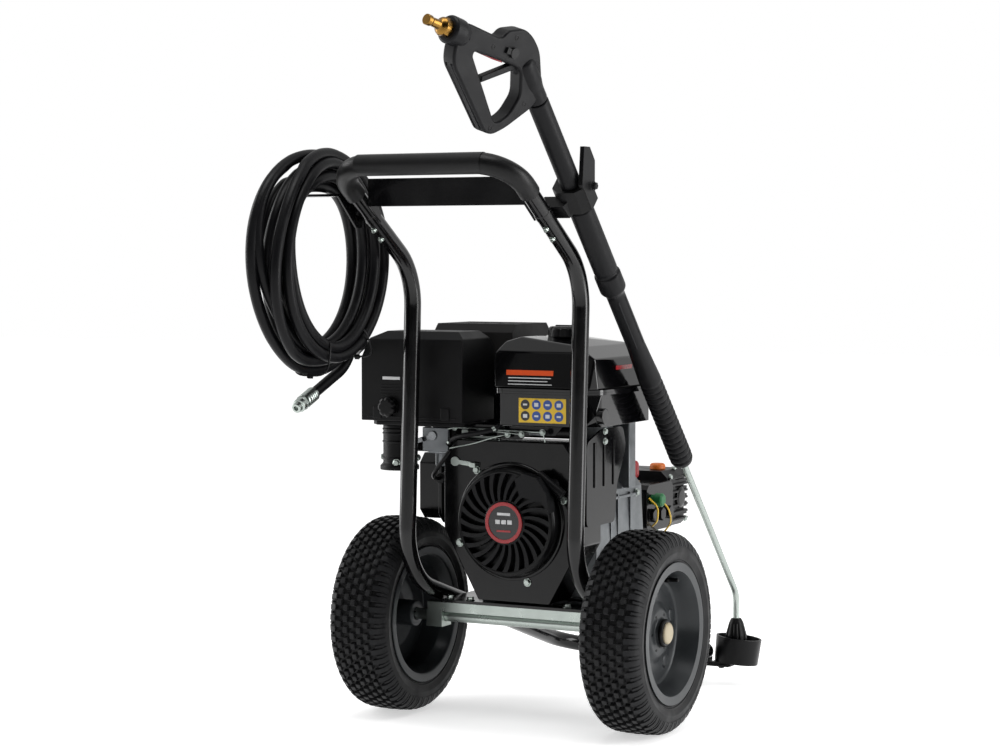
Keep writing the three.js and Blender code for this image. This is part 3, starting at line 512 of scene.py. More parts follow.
def skin_of(
    node: str, test: Any, width: float, steps: int, sharper_than: float = 8.0
) -> bmesh.types.BMesh:
    """Draws the tight outer skin round some of a CAD node's corners.

    Args:
        node: The CAD node whose corners are used.
        test: Says in drawing millimetres whether a corner counts.
        width: Size of the rounding in millimetres.
        steps: Faces across the rounding.
        sharper_than: Edges above this angle in degrees are rounded.

    Returns:
        The rounded skin.
    """
    shape = bmesh.new()
    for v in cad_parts[node].data.vertices:
        x, y, z = v.co.x / MM, (v.co.y - AXLE_Y) / MM, v.co.z / MM
        if test(x, y, z):
            shape.verts.new(v.co)
    bmesh.ops.remove_doubles(shape, verts=shape.verts, dist=0.0002)
    found = bmesh.ops.convex_hull(shape, input=shape.verts)
    spare = dict.fromkeys(e for key in ("geom_interior", "geom_unused") for e in found[key])
    bmesh.ops.delete(
        shape, geom=[e for e in spare if isinstance(e, bmesh.types.BMVert)], context="VERTS"
    )
    # The hull comes in any order, so it is put in order of place to give one result every time.
    for items, place in (
        (shape.verts, lambda v: tuple(v.co)),
        (shape.edges, lambda e: tuple(e.verts[0].co + e.verts[1].co)),
        (shape.faces, lambda f: tuple(f.calc_center_median())),
    ):
        order = {item: i for i, item in enumerate(sorted(items, key=place))}
        items.sort(key=order.__getitem__)
    bmesh.ops.dissolve_limit(
        shape, angle_limit=math.radians(2.0), verts=shape.verts, edges=shape.edges
    )
    round_edges(shape, width, steps, sharper_than)
    return shape


def filleted(profile: Pairs, radius: float, steps: int = 4) -> list[tuple[float, float]]:
    """Rounds the corners of an open outline.

    Args:
        profile: The outline's corners in millimetres.
        radius: How far the rounding reaches along each side, at most.
        steps: Straight steps across a corner.

    Returns:
        The outline with its inner corners rounded.
    """
    points = [Vector(p) for p in profile]
    result = [points[0]]
    for before, corner, after in zip(points, points[1:], points[2:]):
        reach = min(radius, (before - corner).length * 0.45, (after - corner).length * 0.45)
        start = corner + (before - corner).normalized() * reach
        end = corner + (after - corner).normalized() * reach
        for i in range(steps + 1):
            t = i / steps
            result.append(start * (1 - t) ** 2 + corner * 2 * t * (1 - t) + end * t**2)
    result.append(points[-1])
    return [(p.x, p.y) for p in result]


def square_to(direction: Vector) -> tuple[Vector, Vector, Vector]:
    """Gives three square directions, the last of them along the one given.

    Args:
        direction: Any direction.

    Returns:
        Two directions across it, then its own unit direction.
    """
    along = direction.normalized()
    helper = UP if abs(along.z) < 0.9 else ALONG_X
    first = helper.cross(along).normalized()
    return first, along.cross(first), along


def turned(
    profile: Pairs,
    start: Vector,
    direction: Vector,
    sides: int = 48,
    closed: bool = False,
    flute: Optional[Any] = None,
    into: Optional[bmesh.types.BMesh] = None,
) -> bmesh.types.BMesh:
    """Turns an outline round an axis.

    Args:
        profile: Radius and distance along the axis of each corner, in millimetres.
        start: Where the axis starts, in metres.
        direction: Where the axis points.
        sides: Steps round the axis.
        closed: True where the outline is led back to its first point, as in a ring.
        flute: Gives a radius in millimetres for (radius, along, turn), for ribs along the axis.
        into: A shape that takes the new faces, if there is one already.

    Returns:
        The turned shape.
    """
    shape = into or bmesh.new()
    first, second, along = square_to(direction)
    rings = []
    for radius, distance in profile:
        ring = []
        for i in range(sides if radius > 1e-6 else 1):
            turn = 2 * math.pi * i / sides
            r = flute(radius, distance, turn) if flute else radius
            spoke = first * math.cos(turn) + second * math.sin(turn)
            ring.append(shape.verts.new(start + along * distance * MM + spoke * r * MM))
        rings.append(ring)
    pairs = list(zip(rings, rings[1:] + rings[:1])) if closed else list(zip(rings, rings[1:]))
    for a, b in pairs:
        for i in range(sides):
            j = (i + 1) % sides
            corners = [a[i % len(a)], a[j % len(a)], b[j % len(b)], b[i % len(b)]]
            distinct = list(dict.fromkeys(corners))
            if len(distinct) > 2:
                shape.faces.new(distinct)
    for ring in () if closed else (rings[0], rings[-1]):
        if len(ring) > 2:
            shape.faces.new(ring)
    return shape


def bent_route(corners: Sequence[Vector], radius: float, steps: int = 12) -> list[Vector]:
    """Rounds the corners of a tube's route, as a bender does.

    Args:
        corners: The route's corners in metres.
        radius: Bend radius of the middle line in millimetres.
        steps: Steps in each bend.

    Returns:
        Points along the route.
    """
    stations = [corners[0]]
    for before, corner, after in zip(corners, corners[1:], corners[2:]):
        into, out = (corner - before).normalized(), (after - corner).normalized()
        angle = into.angle(out)
        start = corner - into * radius * MM * math.tan(angle / 2)
        inward = (out - into * into.dot(out)).normalized()
        for i in range(steps + 1):
            turn = angle * i / steps
            stations.append(
                start
                + into * radius * MM * math.sin(turn)
                + inward * radius * MM * (1 - math.cos(turn))
            )
    return stations + [corners[-1]]


def smooth_route(points: Sequence[Vector], steps: int = 8) -> list[Vector]:
    """Leads a smooth line through points.

    Args:
        points: The points in metres.
        steps: Steps from one to the next.

    Returns:
        Points along the line.
    """
    ends = [points[0] * 2 - points[1], *points, points[-1] * 2 - points[-2]]
    line = []
    for a, b, c, d in zip(ends, ends[1:], ends[2:], ends[3:]):
        for i in range(steps):
            t = i / steps
            line.append(
                0.5
                * (
                    2 * b
                    + (c - a) * t
                    + (2 * a - 5 * b + 4 * c - d) * t**2
                    + (3 * b - a - 3 * c + d) * t**3
                )
            )
    return line + [points[-1]]


def piped(
    route: Sequence[Vector],
    radius: float,
    sides: int = 24,
    into: Optional[bmesh.types.BMesh] = None,
) -> bmesh.types.BMesh:
    """Draws a round bar or tube along a route, with closed ends.

    Args:
        route: Points of its middle line in metres.
        radius: Its outer radius in millimetres.
        sides: Sides of its section.
        into: A shape that takes the new faces, if there is one already.

    Returns:
        The shape.
    """
    shape = into or bmesh.new()
    first, second, _ = square_to(route[1] - route[0])
    rings = []
    for i, place in enumerate(route):
        ahead = (route[min(i + 1, len(route) - 1)] - route[max(i - 1, 0)]).normalized()
        first = (first - ahead * first.dot(ahead)).normalized()
        second = ahead.cross(first)
        rings.append(
            [
                shape.verts.new(
                    place
                    + (first * math.cos(turn) + second * math.sin(turn)) * radius * MM
                )
                for turn in (2 * math.pi * k / sides for k in range(sides))
            ]
        )
    for a, b in zip(rings, rings[1:]):
        for k in range(sides):
            n = (k + 1) % sides
            shape.faces.new((a[k], a[n], b[n], b[k]))
    shape.faces.new(rings[0])
    shape.faces.new(rings[-1])
    return shape


def block(
    middle: Vector,
    sizes: tuple[float, float, float],
    axes: Optional[tuple[Vector, Vector, Vector]] = None,
    width: float = 0.8,
    taper: float = 1.0,
    into: Optional[bmesh.types.BMesh] = None,
) -> bmesh.types.BMesh:
    """Draws a block with rounded edges.

    Args:
        middle: Its middle in metres.
        sizes: Its three sizes in millimetres.
        axes: The directions of those sizes, or None for the shared frame's own.
        width: Size of the rounding in millimetres.
        taper: Size of its far end along the last direction, as a share of the near end.
        into: A shape that takes the new faces, if there is one already.

    Returns:
        The shape.
    """
    a, b, c = axes or (ALONG_X, ALONG_Y, UP)
    part = bmesh.new()
    bmesh.ops.create_cube(part, size=1.0)
    for v in part.verts:
        share = taper if v.co.z > 0 else 1.0
        x, y, z = (v.co[i] * sizes[i] * MM for i in range(3))
        v.co = middle + a * x * share + b * y * share + c * z
    if width:
        round_edges(part, min(width, min(sizes) * 0.3), 2, 30)
    if into is None:
        return part
    repeated(part, into)
    return into


def hexagon_head(place: Vector, direction: Vector, across: float, into: bmesh.types.BMesh) -> None:
    """Adds a bolt head with its washer and a chamfered top.

    Args:
        place: Where it sits, in metres.
        direction: Which way it faces.
        across: Size across its corners in millimetres.
        into: The shape that takes it.
    """
    r = across / 2
    turned([(0, 0), (r * 1.25, 0), (r * 1.25, 1.2), (0, 1.2)], place, direction, 24, into=into)
    turned(
        [(0, 1.0), (r, 1.0), (r, across * 0.4), (r * 0.82, across * 0.48), (0, across * 0.48)],
        place,
        direction,
        6,
        into=into,
    )


def repeated(
    part: bmesh.types.BMesh,
    into: bmesh.types.BMesh,
    places: Iterable[Matrix] = (Matrix.Identity(4),),
) -> None:
    """Adds a part to a shape, once where it is or at several places.

    Args:
        part: The part, which is used up.
        into: The shape that takes the copies.
        places: The move that puts each copy in place.
    """
    mesh = bpy.data.meshes.new("part")
    part.to_mesh(mesh)
    part.free()
    for place in places:
        copy = mesh.copy()
        copy.transform(place)
        into.from_mesh(copy)
        bpy.data.meshes.remove(copy)
    bpy.data.meshes.remove(mesh)


def slab(
    outline: Pairs,
    origin: Vector,
    first: Vector,
    second: Vector,
    low: float,
    high: float,
    width: float = 0.0,
) -> bmesh.types.BMesh:
    """Makes a flat outline thick.

    Args:
        outline: Its corners in millimetres along the two directions.
        origin: Where the outline's zero lies, in metres.
        first: Direction of the first number.
        second: Direction of the second number.
        low: Where the thickness starts, along first x second.
        high: Where it ends.
        width: Size of the rounding in millimetres, or 0 for none.

    Returns:
        The shape.
    """
    shape = bmesh.new()
    third = first.cross(second)
    sides = [
        [
            shape.verts.new(origin + (first * a + second * b + third * level) * MM)
            for a, b in outline
        ]
        for level in (low, high)
    ]
    shape.faces.new(reversed(sides[0]))
    shape.faces.new(sides[1])
    count = len(outline)
    for i in range(count):
        j = (i + 1) % count
        shape.faces.new((sides[0][i], sides[0][j], sides[1][j], sides[1][i]))
    if width:
        round_edges(shape, width, 2, 30)
    return shape


def rounded_plate(
    outlines: Sequence[Pairs],
    origin: Vector,
    first: Vector,
    second: Vector,
    half: float,
    rounding: float,
) -> bmesh.types.BMesh:
    """Makes a plate with soft edges from an outline and the holes in it.

    Args:
        outlines: The outer corners, then each hole's, in millimetres along the two directions.
        origin: Where the outlines' zero lies, in metres.
        first: Direction of the first number.
        second: Direction of the second number.
        half: Half the thickness in millimetres.
        rounding: Radius of the soft edges in millimetres.

    Returns:
        The shape.
    """
    shape = bmesh.new()
    third = first.cross(second)
    steps = 5
    levels = []
    for i in range(steps + 1):
        turn = math.pi / 2 * i / steps
        levels.append((rounding * (1 - math.sin(turn)), -half + rounding * (1 - math.cos(turn))))
    levels += [(inset, -level) for inset, level in reversed(levels)]
    caps: tuple[list[Any], list[Any]] = ([], [])
    for number, corners in enumerate(outlines):
        start = (Vector(corners[0]) + Vector(corners[1])) / 2
        line = filleted([start, *corners[1:], corners[0], start], 18 if number == 0 else 10, 7)[:-1]
        points = [Vector(p) for p in line]
        area = sum(p.cross(q) for p, q in zip(points, points[1:] + points[:1]))
        sense = (1 if area > 0 else -1) * (1 if number == 0 else -1)
        count = len(points)
        inward = []
        for i in range(count):
            way = (points[(i + 1) % count] - points[i - 1]).normalized()
            inward.append(Vector((-way.y, way.x)) * sense)
        rings = []
        for inset, level in levels:
            placed = [p + n * inset for p, n in zip(points, inward)]
            rings.append(
                [
                    shape.verts.new(origin + (first * q.x + second * q.y + third * level) * MM)
                    for q in placed
                ]
            )
        for low, high in zip(rings, rings[1:]):
            for i in range(count):
                j = (i + 1) % count
                shape.faces.new((low[i], low[j], high[j], high[i]))
        for cap, ring in zip(caps, (rings[0], rings[-1])):
            cap += [shape.edges.get((ring[i], ring[i - 1])) for i in range(count)]
    for cap in caps:
        bmesh.ops.triangle_fill(shape, use_beauty=True, use_dissolve=True, edges=cap)
    return shape


# ---------------------------------------------------------------- studio
@dataclass
class Studio:
    """A pale sweep with two tall soft boxes behind the machine, and the camera."""

    eye: Vector = field(default_factory=lambda: Vector((1.8107, -3.48426, 0.7757)))
    right: Vector = field(default_factory=lambda: Vector((0.8846, 0.4664, 0.0)))
    top: Vector = field(default_factory=lambda: Vector((-0.0236, 0.0448, 0.9988)))
    lens: float = 85.99

    def camera(self) -> None:
        """Sets up the camera."""
        data = bpy.data.cameras.new("camera")
        data.lens, data.sensor_width = self.lens, 36.0
        data.clip_start, data.clip_end = 0.05, 60.0
        eye = bpy.data.objects.new("camera", data)
        bpy.context.scene.collection.objects.link(eye)
        right = self.right.normalized()
        top = (self.top - right * self.top.dot(right)).normalized()
        turn = Matrix((right, top, right.cross(top))).transposed()
        eye.matrix_world = Matrix.Translation(self.eye) @ turn.to_4x4()
        bpy.context.scene.camera = eye

    def floor(self) -> None:
        """Lays the floor."""
        mesh = bpy.data.meshes.new("floor")
        reach = 14.0
        corners = [(-reach, -reach, 0), (reach, -reach, 0), (reach, reach, 0), (-reach, reach, 0)]
        mesh.from_pydata(corners, [], [(0, 1, 2, 3)])
        floor = bpy.data.objects.new("floor", mesh)
        bpy.context.scene.collection.objects.link(floor)
        paper = Finish(
            "matt_white_paper_sweep", "", "#f6f6f6", "#f9f9f9", 0.9, Grain.SMOOTH, 30.0, 0.01
        ).material()
        shader = paper.node_tree.nodes["Principled BSDF"]
        shader.inputs["Emission Color"].default_value = (1, 1, 1, 1)
        shader.inputs["Emission Strength"].default_value = 0.55
        mesh.materials.append(paper)

    def soft_box(
        self, name: str, place: Vector, aim: Vector, size: tuple[float, float], power: float
    ) -> None:
        """Hangs one soft box.

        Args:
            name: Its name.
            place: Its middle in metres.
            aim: The point it faces.
            size: Its width and height in metres.
            power: Its power in watts.
        """
        data = bpy.data.lights.new(name, "AREA")
        data.shape, data.size, data.size_y, data.energy = "RECTANGLE", *size, power
        lamp = bpy.data.objects.new(name, data)
        bpy.context.scene.collection.objects.link(lamp)
        lamp.location = place
        lamp.rotation_mode = "QUATERNION"
        lamp.rotation_quaternion = (aim - place).to_track_quat("-Z", "Y")

    def surround(self) -> None:
        """Makes the room: bright behind and beside the machine, dim in front of it."""
        world = bpy.data.worlds.new("room")
        bpy.context.scene.world = world
        world.use_nodes = True
        tree = world.node_tree
        tree.nodes.clear()
        way = put(tree, "TexCoord").outputs["Generated"]
        front = Vector((self.eye.x, self.eye.y, 0.0)).normalized()
        facing = put(
            tree, "VectorMath", {"operation": "DOT_PRODUCT"}, {0: way, 1: tuple(front)}
        ).outputs["Value"]
        level = put(
            tree,
            "MapRange",
            {"interpolation_type": "SMOOTHSTEP"},
            {"Value": facing, "From Min": 0.05, "From Max": 0.8, "To Min": 0.9, "To Max": 0.04},
        )
        room = put(tree, "Background", inputs={"Strength": level.outputs[0]})
        backdrop = put(tree, "Background", inputs={"Color": (1, 1, 1, 1), "Strength": 1.0})
        seen = put(tree, "LightPath").outputs["Is Camera Ray"]
        both = put(
            tree,
            "MixShader",
            inputs={0: seen, 1: room.outputs[0], 2: backdrop.outputs[0]},
        )
        put(tree, "OutputWorld", inputs={"Surface": both.outputs[0]})
        scene = bpy.context.scene
        scene.view_settings.view_transform = "Standard"
        scene.view_settings.look = "None"

    def build(self) -> None:
        """Makes the camera, floor, room and lamps."""
        self.camera()
        self.floor()
        self.surround()
        aim = Vector((0, 0, 0.5))
        self.soft_box("box_right", Vector((2.6, 0.6, 1.1)), aim, (1.0, 2.2), 46)
        self.soft_box("box_left", Vector((-2.6, -0.4, 1.2)), aim, (0.8, 2.2), 32)
        self.soft_box("box_above", Vector((0.2, -0.8, 3.0)), aim, (1.6, 1.0), 26)
        log.info("studio ready")


# ---------------------------------------------------------------- hose
@dataclass
class Hose:
    """The high pressure hose: eight hanging turns, a fitting on each end, and two ties."""

    radius: float = 9.0
    middle: Vector = field(default_factory=lambda: at(-210, -278, 773))
    # Radius and side step of each turn, in millimetres, at the hook, beside it, and at the ties.
    over_hook: Pairs = (
        (181, 2), (163, 10), (145, 16), (127, 12), (109, -4), (122, -20), (139, -10), (157, -8)
    )
    beside: Pairs = (
        (174, 9), (150, 22), (124, 22), (112, 4), (120, -20), (146, -22), (148, 0), (177, -20)
    )
    at_ties: Pairs = (
        (182, 5), (163, 21), (144, 21), (144, 1), (144, -20), (163, -20), (163, 0), (182, -17)
    )
    start_turn: float = -80.0
    length: float = 7.6
    # Where the two ends leave the bundle, in millimetres from its middle, and which way.
    far_end: tuple[float, float, float] = (-21.0, 150.0, -144.0)
    far_way: tuple[float, float, float] = (-69.0, 73.0, -23.0)
    tail_start: tuple[float, float, float] = (-22.0, 82.0, -189.0)
    tail_way: tuple[float, float, float] = (0.0, -0.927, -0.375)
    tail_length: float = 84.0

    def place(self, turns: float, degrees: float) -> Vector:
        """Gives the middle line's place on the coil.

        Args:
            turns: Which turn it is on, counted from 0, with parts of a turn between two.
            degrees: The angle round the coil, 90 at the top.

        Returns:
            The place in metres.
        """
        angle = math.radians(degrees)
        up = 0.5 + 0.5 * math.sin(angle)
        side = abs(math.cos(angle)) ** 1.5
        index = min(int(turns), 7)
        share = turns - index

        def step(table: Pairs) -> Vector:
            """Returns the radius and side step between two turns."""
            after = table[min(index + 1, 7)]
            return Vector(table[index]).lerp(Vector(after), share)

        ends = step(self.over_hook) * up + step(self.at_ties) * (1 - up)
        radius, across = ends.lerp(step(self.beside), side)
        sway = 2.0 * math.sin(2 * angle + 2.4 * index)
        return self.middle + Vector(
            (
                across * MM,
                (radius + sway) * MM * math.cos(angle),
                (radius + sway) * MM * math.sin(angle),
            )
        )

    def coil(self) -> list[Vector]:
        """Winds the turns, each moving over to the next on the handle's side.

        Returns:
            Points along the coil.
        """
        points = []
        end = self.start_turn - 7 * 360 - 322
        degrees = self.start_turn
        while degrees > end:
            gone = (self.start_turn - degrees) / 360
            whole = int(gone)
            part = min(max((gone - whole - 0.08) / 0.36, 0.0), 1.0)
            eased = part * part * (3 - 2 * part)
            points.append(self.place(min(whole + eased, 7.0), degrees))
            degrees -= 6.0
        return points

    def bridge(self, start: Vector, leaving: Vector, end: Vector, arriving: Vector) -> list[Vector]:
        """Leads the hose from one stretch to the next in an easy bend.

        Args:
            start: Where it starts, in metres.
            leaving: Its unit direction there.
            end: Where it ends.
            arriving: Its unit direction there.

        Returns:
            Points about a diameter apart, with the start and without the end.
        """
        span = (end - start).length
        count = max(2, round(span / (2 * self.radius * MM)))
        points = []
        for i in range(count):
            t = i / count
            points.append(
                start * (2 * t**3 - 3 * t**2 + 1)
                + end * (3 * t**2 - 2 * t**3)
                + leaving * span * (t**3 - 2 * t**2 + t)
                + arriving * span * (t**3 - t**2)
            )
        return points

    def route(self) -> list[Vector]:
        """Gives the whole middle line, from the fitting that points forward to the free end.

        Returns:
            Points a few millimetres apart.
        """
        far_end = self.middle + Vector(self.far_end) * MM
        inward = -Vector(self.far_way).normalized()
        tail_start = self.middle + Vector(self.tail_start) * MM
        tail_way = Vector(self.tail_way).normalized()
        coil = self.coil()[8:]
        first_way = (coil[1] - coil[0]).normalized()
        last_way = (coil[-1] - coil[-2]).normalized()
        lead = self.bridge(far_end, inward, coil[0], first_way)
        join = self.bridge(coil[-1], last_way, tail_start, tail_way)
        tail = [tail_start + tail_way * self.tail_length * MM * i / 4 for i in range(5)]
        return smooth_route(lead + coil[:-1] + join + tail, 3)

    def build(self) -> None:
        """Makes the hose, its fittings and ties."""
        route = self.route()
        curve = bpy.data.curves.new("hose", "CURVE")
        curve.dimensions = "3D"
        curve.bevel_depth, curve.bevel_resolution = self.radius * MM, 5
        curve.use_fill_caps = True
        line = curve.splines.new("POLY")
        line.points.add(len(route) - 1)
        line.points.foreach_set("co", [c for p in route for c in (*p, 1.0)])
        line.use_smooth = True
        curve.materials.append(HOSE_RUBBER.material())
        hose = bpy.data.objects.new("hose", curve)
        bpy.context.scene.collection.objects.link(hose)
        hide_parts("hose_coil", "hose_tail")
        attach(hose, "hose")
        tail_way = Vector(self.tail_way).normalized()
        tail_end = self.middle + Vector(self.tail_start) * MM + tail_way * 0.0843
        nut = keep("hose_nut_made", self.fitting(tail_end, tail_way), ZINC, "hose_nut",
                   ["hose_coupling"])
        other = self.middle + Vector(self.far_end) * MM
        way = Vector(self.far_way).normalized()
        sleeve = turned(
            filleted([(0, 0), (9.5, 0), (11.8, 3), (11.8, 46), (10.5, 49), (0, 49)], 2),
            other, way, 32,
        )
        relief = keep("hose_end_sleeve", sleeve, HOSE_RUBBER, "hose",
                      ["hose_end_coupling"])
        fitting = keep("hose_end_fitting", self.fitting(other + way * 0.044, way), ZINC, "hose")
        self.ties()
        log.info("hose: %d points", len(route))

    def fitting(self, start: Vector, way: Vector) -> bmesh.types.BMesh:
        """Turns a crimped hose fitting with its hexagon nut.

        Args:
            start: Where its collar starts, in metres.
            way: Where it points.

        Returns:
            The fitting.
        """
        collar = [(0, 0), (11.4, 0), (12, 1)]
        for i in range(4):
            along = 6 + i * 5
            collar += [(12, along), (11.3, along + 1.5), (12, along + 3)]
        collar += [(12, 28), (11, 30), (8.5, 30), (8.5, 33), (0, 33)]
        shape = turned(collar, start, way, 32)
        turned([(0, 32), (11.5, 32), (12, 33), (12, 38), (11.5, 39), (0, 39)], start, way, 6,
               into=shape)
        turned(
            filleted([(0, 38), (11, 38), (11, 46), (8, 47), (8, 55), (6.8, 55.8), (4, 55.8),
                      (4, 50), (0, 50)], 0.6, 2),
            start, way, 32, into=shape,
        )
        return shape

    def ties(self) -> None:
        """Puts two cable ties round the bundle where the tail leaves it."""
        for number, degrees in enumerate((-58.0, -102.0)):
            angle = math.radians(degrees)
            out = Vector((0, math.cos(angle), math.sin(angle)))
            centre = self.middle + out * 163 * MM
            loop = []
            for i in range(33):
                turn = 2 * math.pi * i / 32
                c, s = math.cos(turn), math.sin(turn)
                loop.append(
                    centre
                    + ALONG_X * 32.5 * MM * math.copysign(abs(c) ** 0.55, c)
                    + out * 30.5 * MM * math.copysign(abs(s) ** 0.55, s)
                )
            shape = piped(loop, 1.5, 8)
            head = centre + out * 31.5 * MM
            block(head, (7, 5, 5), (ALONG_X, ALONG_X.cross(out), out), 0.8, into=shape)
            keep(f"hose_tie_{number + 1}", shape, NYLON, "hose")


# ---------------------------------------------------------------- frame
@dataclass
class TubeFrame:
    """The bent tubes, the handle with its foam grip, the plate under it and the feet."""

    tube_radius: float = 14.0
    half_width: float = 154.0
    shoulder: tuple[float, float] = (-87.915, 746.0)
    knee: tuple[float, float] = (-113.0, 244.3)
    handle_rise: float = 0.673
    rail_drop: float = 0.33
    rail_start: float = 207.0
    joint_y: float = -225.0
    handle_y: float = -335.0
    front_y: float = 490.0
    rail_end_y: float = 400.0

    def arm(self, y: float) -> float:
        """Returns the handle arm's height over the ground."""
        return self.shoulder[1] + self.handle_rise * (self.shoulder[0] - y)

    def rail(self, y: float) -> float:
        """Returns the base rail's height over the ground."""
        return self.rail_start - self.rail_drop * y

    def side_tube(self, side: int, word: str) -> None:
        """Bends one side tube.

        Args:
            side: -1 on the left and 1 on the right.
            word: That side's word in the CAD names.
        """
        x = side * self.half_width
        corners = [
            at(x, self.joint_y, self.arm(self.joint_y)),
            at(x, *self.shoulder),
            at(x, *self.knee),
            at(x, self.rail_end_y, self.rail(self.rail_end_y)),
        ]
        node = f"frame_tube_{word}"
        shape = piped(bent_route(corners, 105), self.tube_radius, 36)
        keep(node + "_made", shape, FRAME_PAINT, "root", [node],
             round_all_over=True)

    def across(self, end_y: float, bar_y: float, height: Any) -> list[Vector]:
        """Gives the corners of a tube that crosses from side to side.

        Args:
            end_y: Where its two ends are.
            bar_y: Where it crosses.
            height: Gives its height at a distance in front of the axle.

        Returns:
            Its four corners in metres.
        """
        w = self.half_width
        return [
            at(-w, end_y, height(end_y)),
            at(-w, bar_y, height(bar_y)),
            at(w, bar_y, height(bar_y)),
            at(w, end_y, height(end_y)),
        ]

    def grip(self) -> None:
        """Makes the foam sleeve, with its soft swelling and turned-in ends."""
        route = bent_route(self.across(-271, self.handle_y, self.arm), 60, 12)
        shape = piped(smooth_route(route, 2), 16.9, 36)
        round_edges(shape, 2.0, 3, 60)
        grip = keep("handle_grip_made", shape, GRIP_FOAM, "root", ["handle_grip"],
                    round_all_over=True)

    def fasteners(self) -> None:
        """Bolts the handle arms to the side tubes and the plate to the arms."""
        down = Vector((0, -self.handle_rise, -1)).normalized()
        shape = bmesh.new()
        for side in (-1, 1):
            for y in (-206, -184):
                place = at(side * self.half_width, y, self.arm(y)) + down * 13.6 * MM
                hexagon_head(place, down, 8.5, shape)
                turned([(0, 3), (2.2, 3), (2.2, 6), (0, 6.4)], place, down, 12, into=shape)
        keep("handle_bolts", shape, ZINC, crease=30)
        seams = bmesh.new()
        arm_way = Vector((0, -1, self.handle_rise)).normalized()
        for side in (-1, 1):
            place = at(side * self.half_width, self.joint_y, self.arm(self.joint_y))
            turned(
                filleted([(13.9, -7), (14.7, -6), (14.7, 6), (13.9, 7)], 0.6, 3),
                place, arm_way, 36, closed=True, into=seams,
            )
        keep("handle_joint_collars", seams, FRAME_PAINT)

    def build(self) -> None:
        """Makes the whole frame."""
        for side, word in ((-1, "left"), (1, "right")):
            self.side_tube(side, word)
            dress(f"foot_{word}", FOOT_RUBBER, width=1.5)
        for node, end, bar_y, height, radius in (
            ("front_cross_tube", self.rail_end_y, self.front_y, self.rail, 85),
            ("handle_tube", self.joint_y, self.handle_y, self.arm, 60),
        ):
            route = bent_route(self.across(end, bar_y, height), radius)
            shape = piped(route, self.tube_radius, 36)
            keep(node + "_made", shape, FRAME_PAINT, "root", [node],
                 round_all_over=True)
        dress("handle_plate", FRAME_PAINT, width=1.2)
        dress("engine_deck", FRAME_PAINT, width=1.2)
        dress("hose_hook", FRAME_PAINT, width=0.9)
        self.grip()
        self.fasteners()
        log.info("frame: tubes, handle, plate, deck and feet")


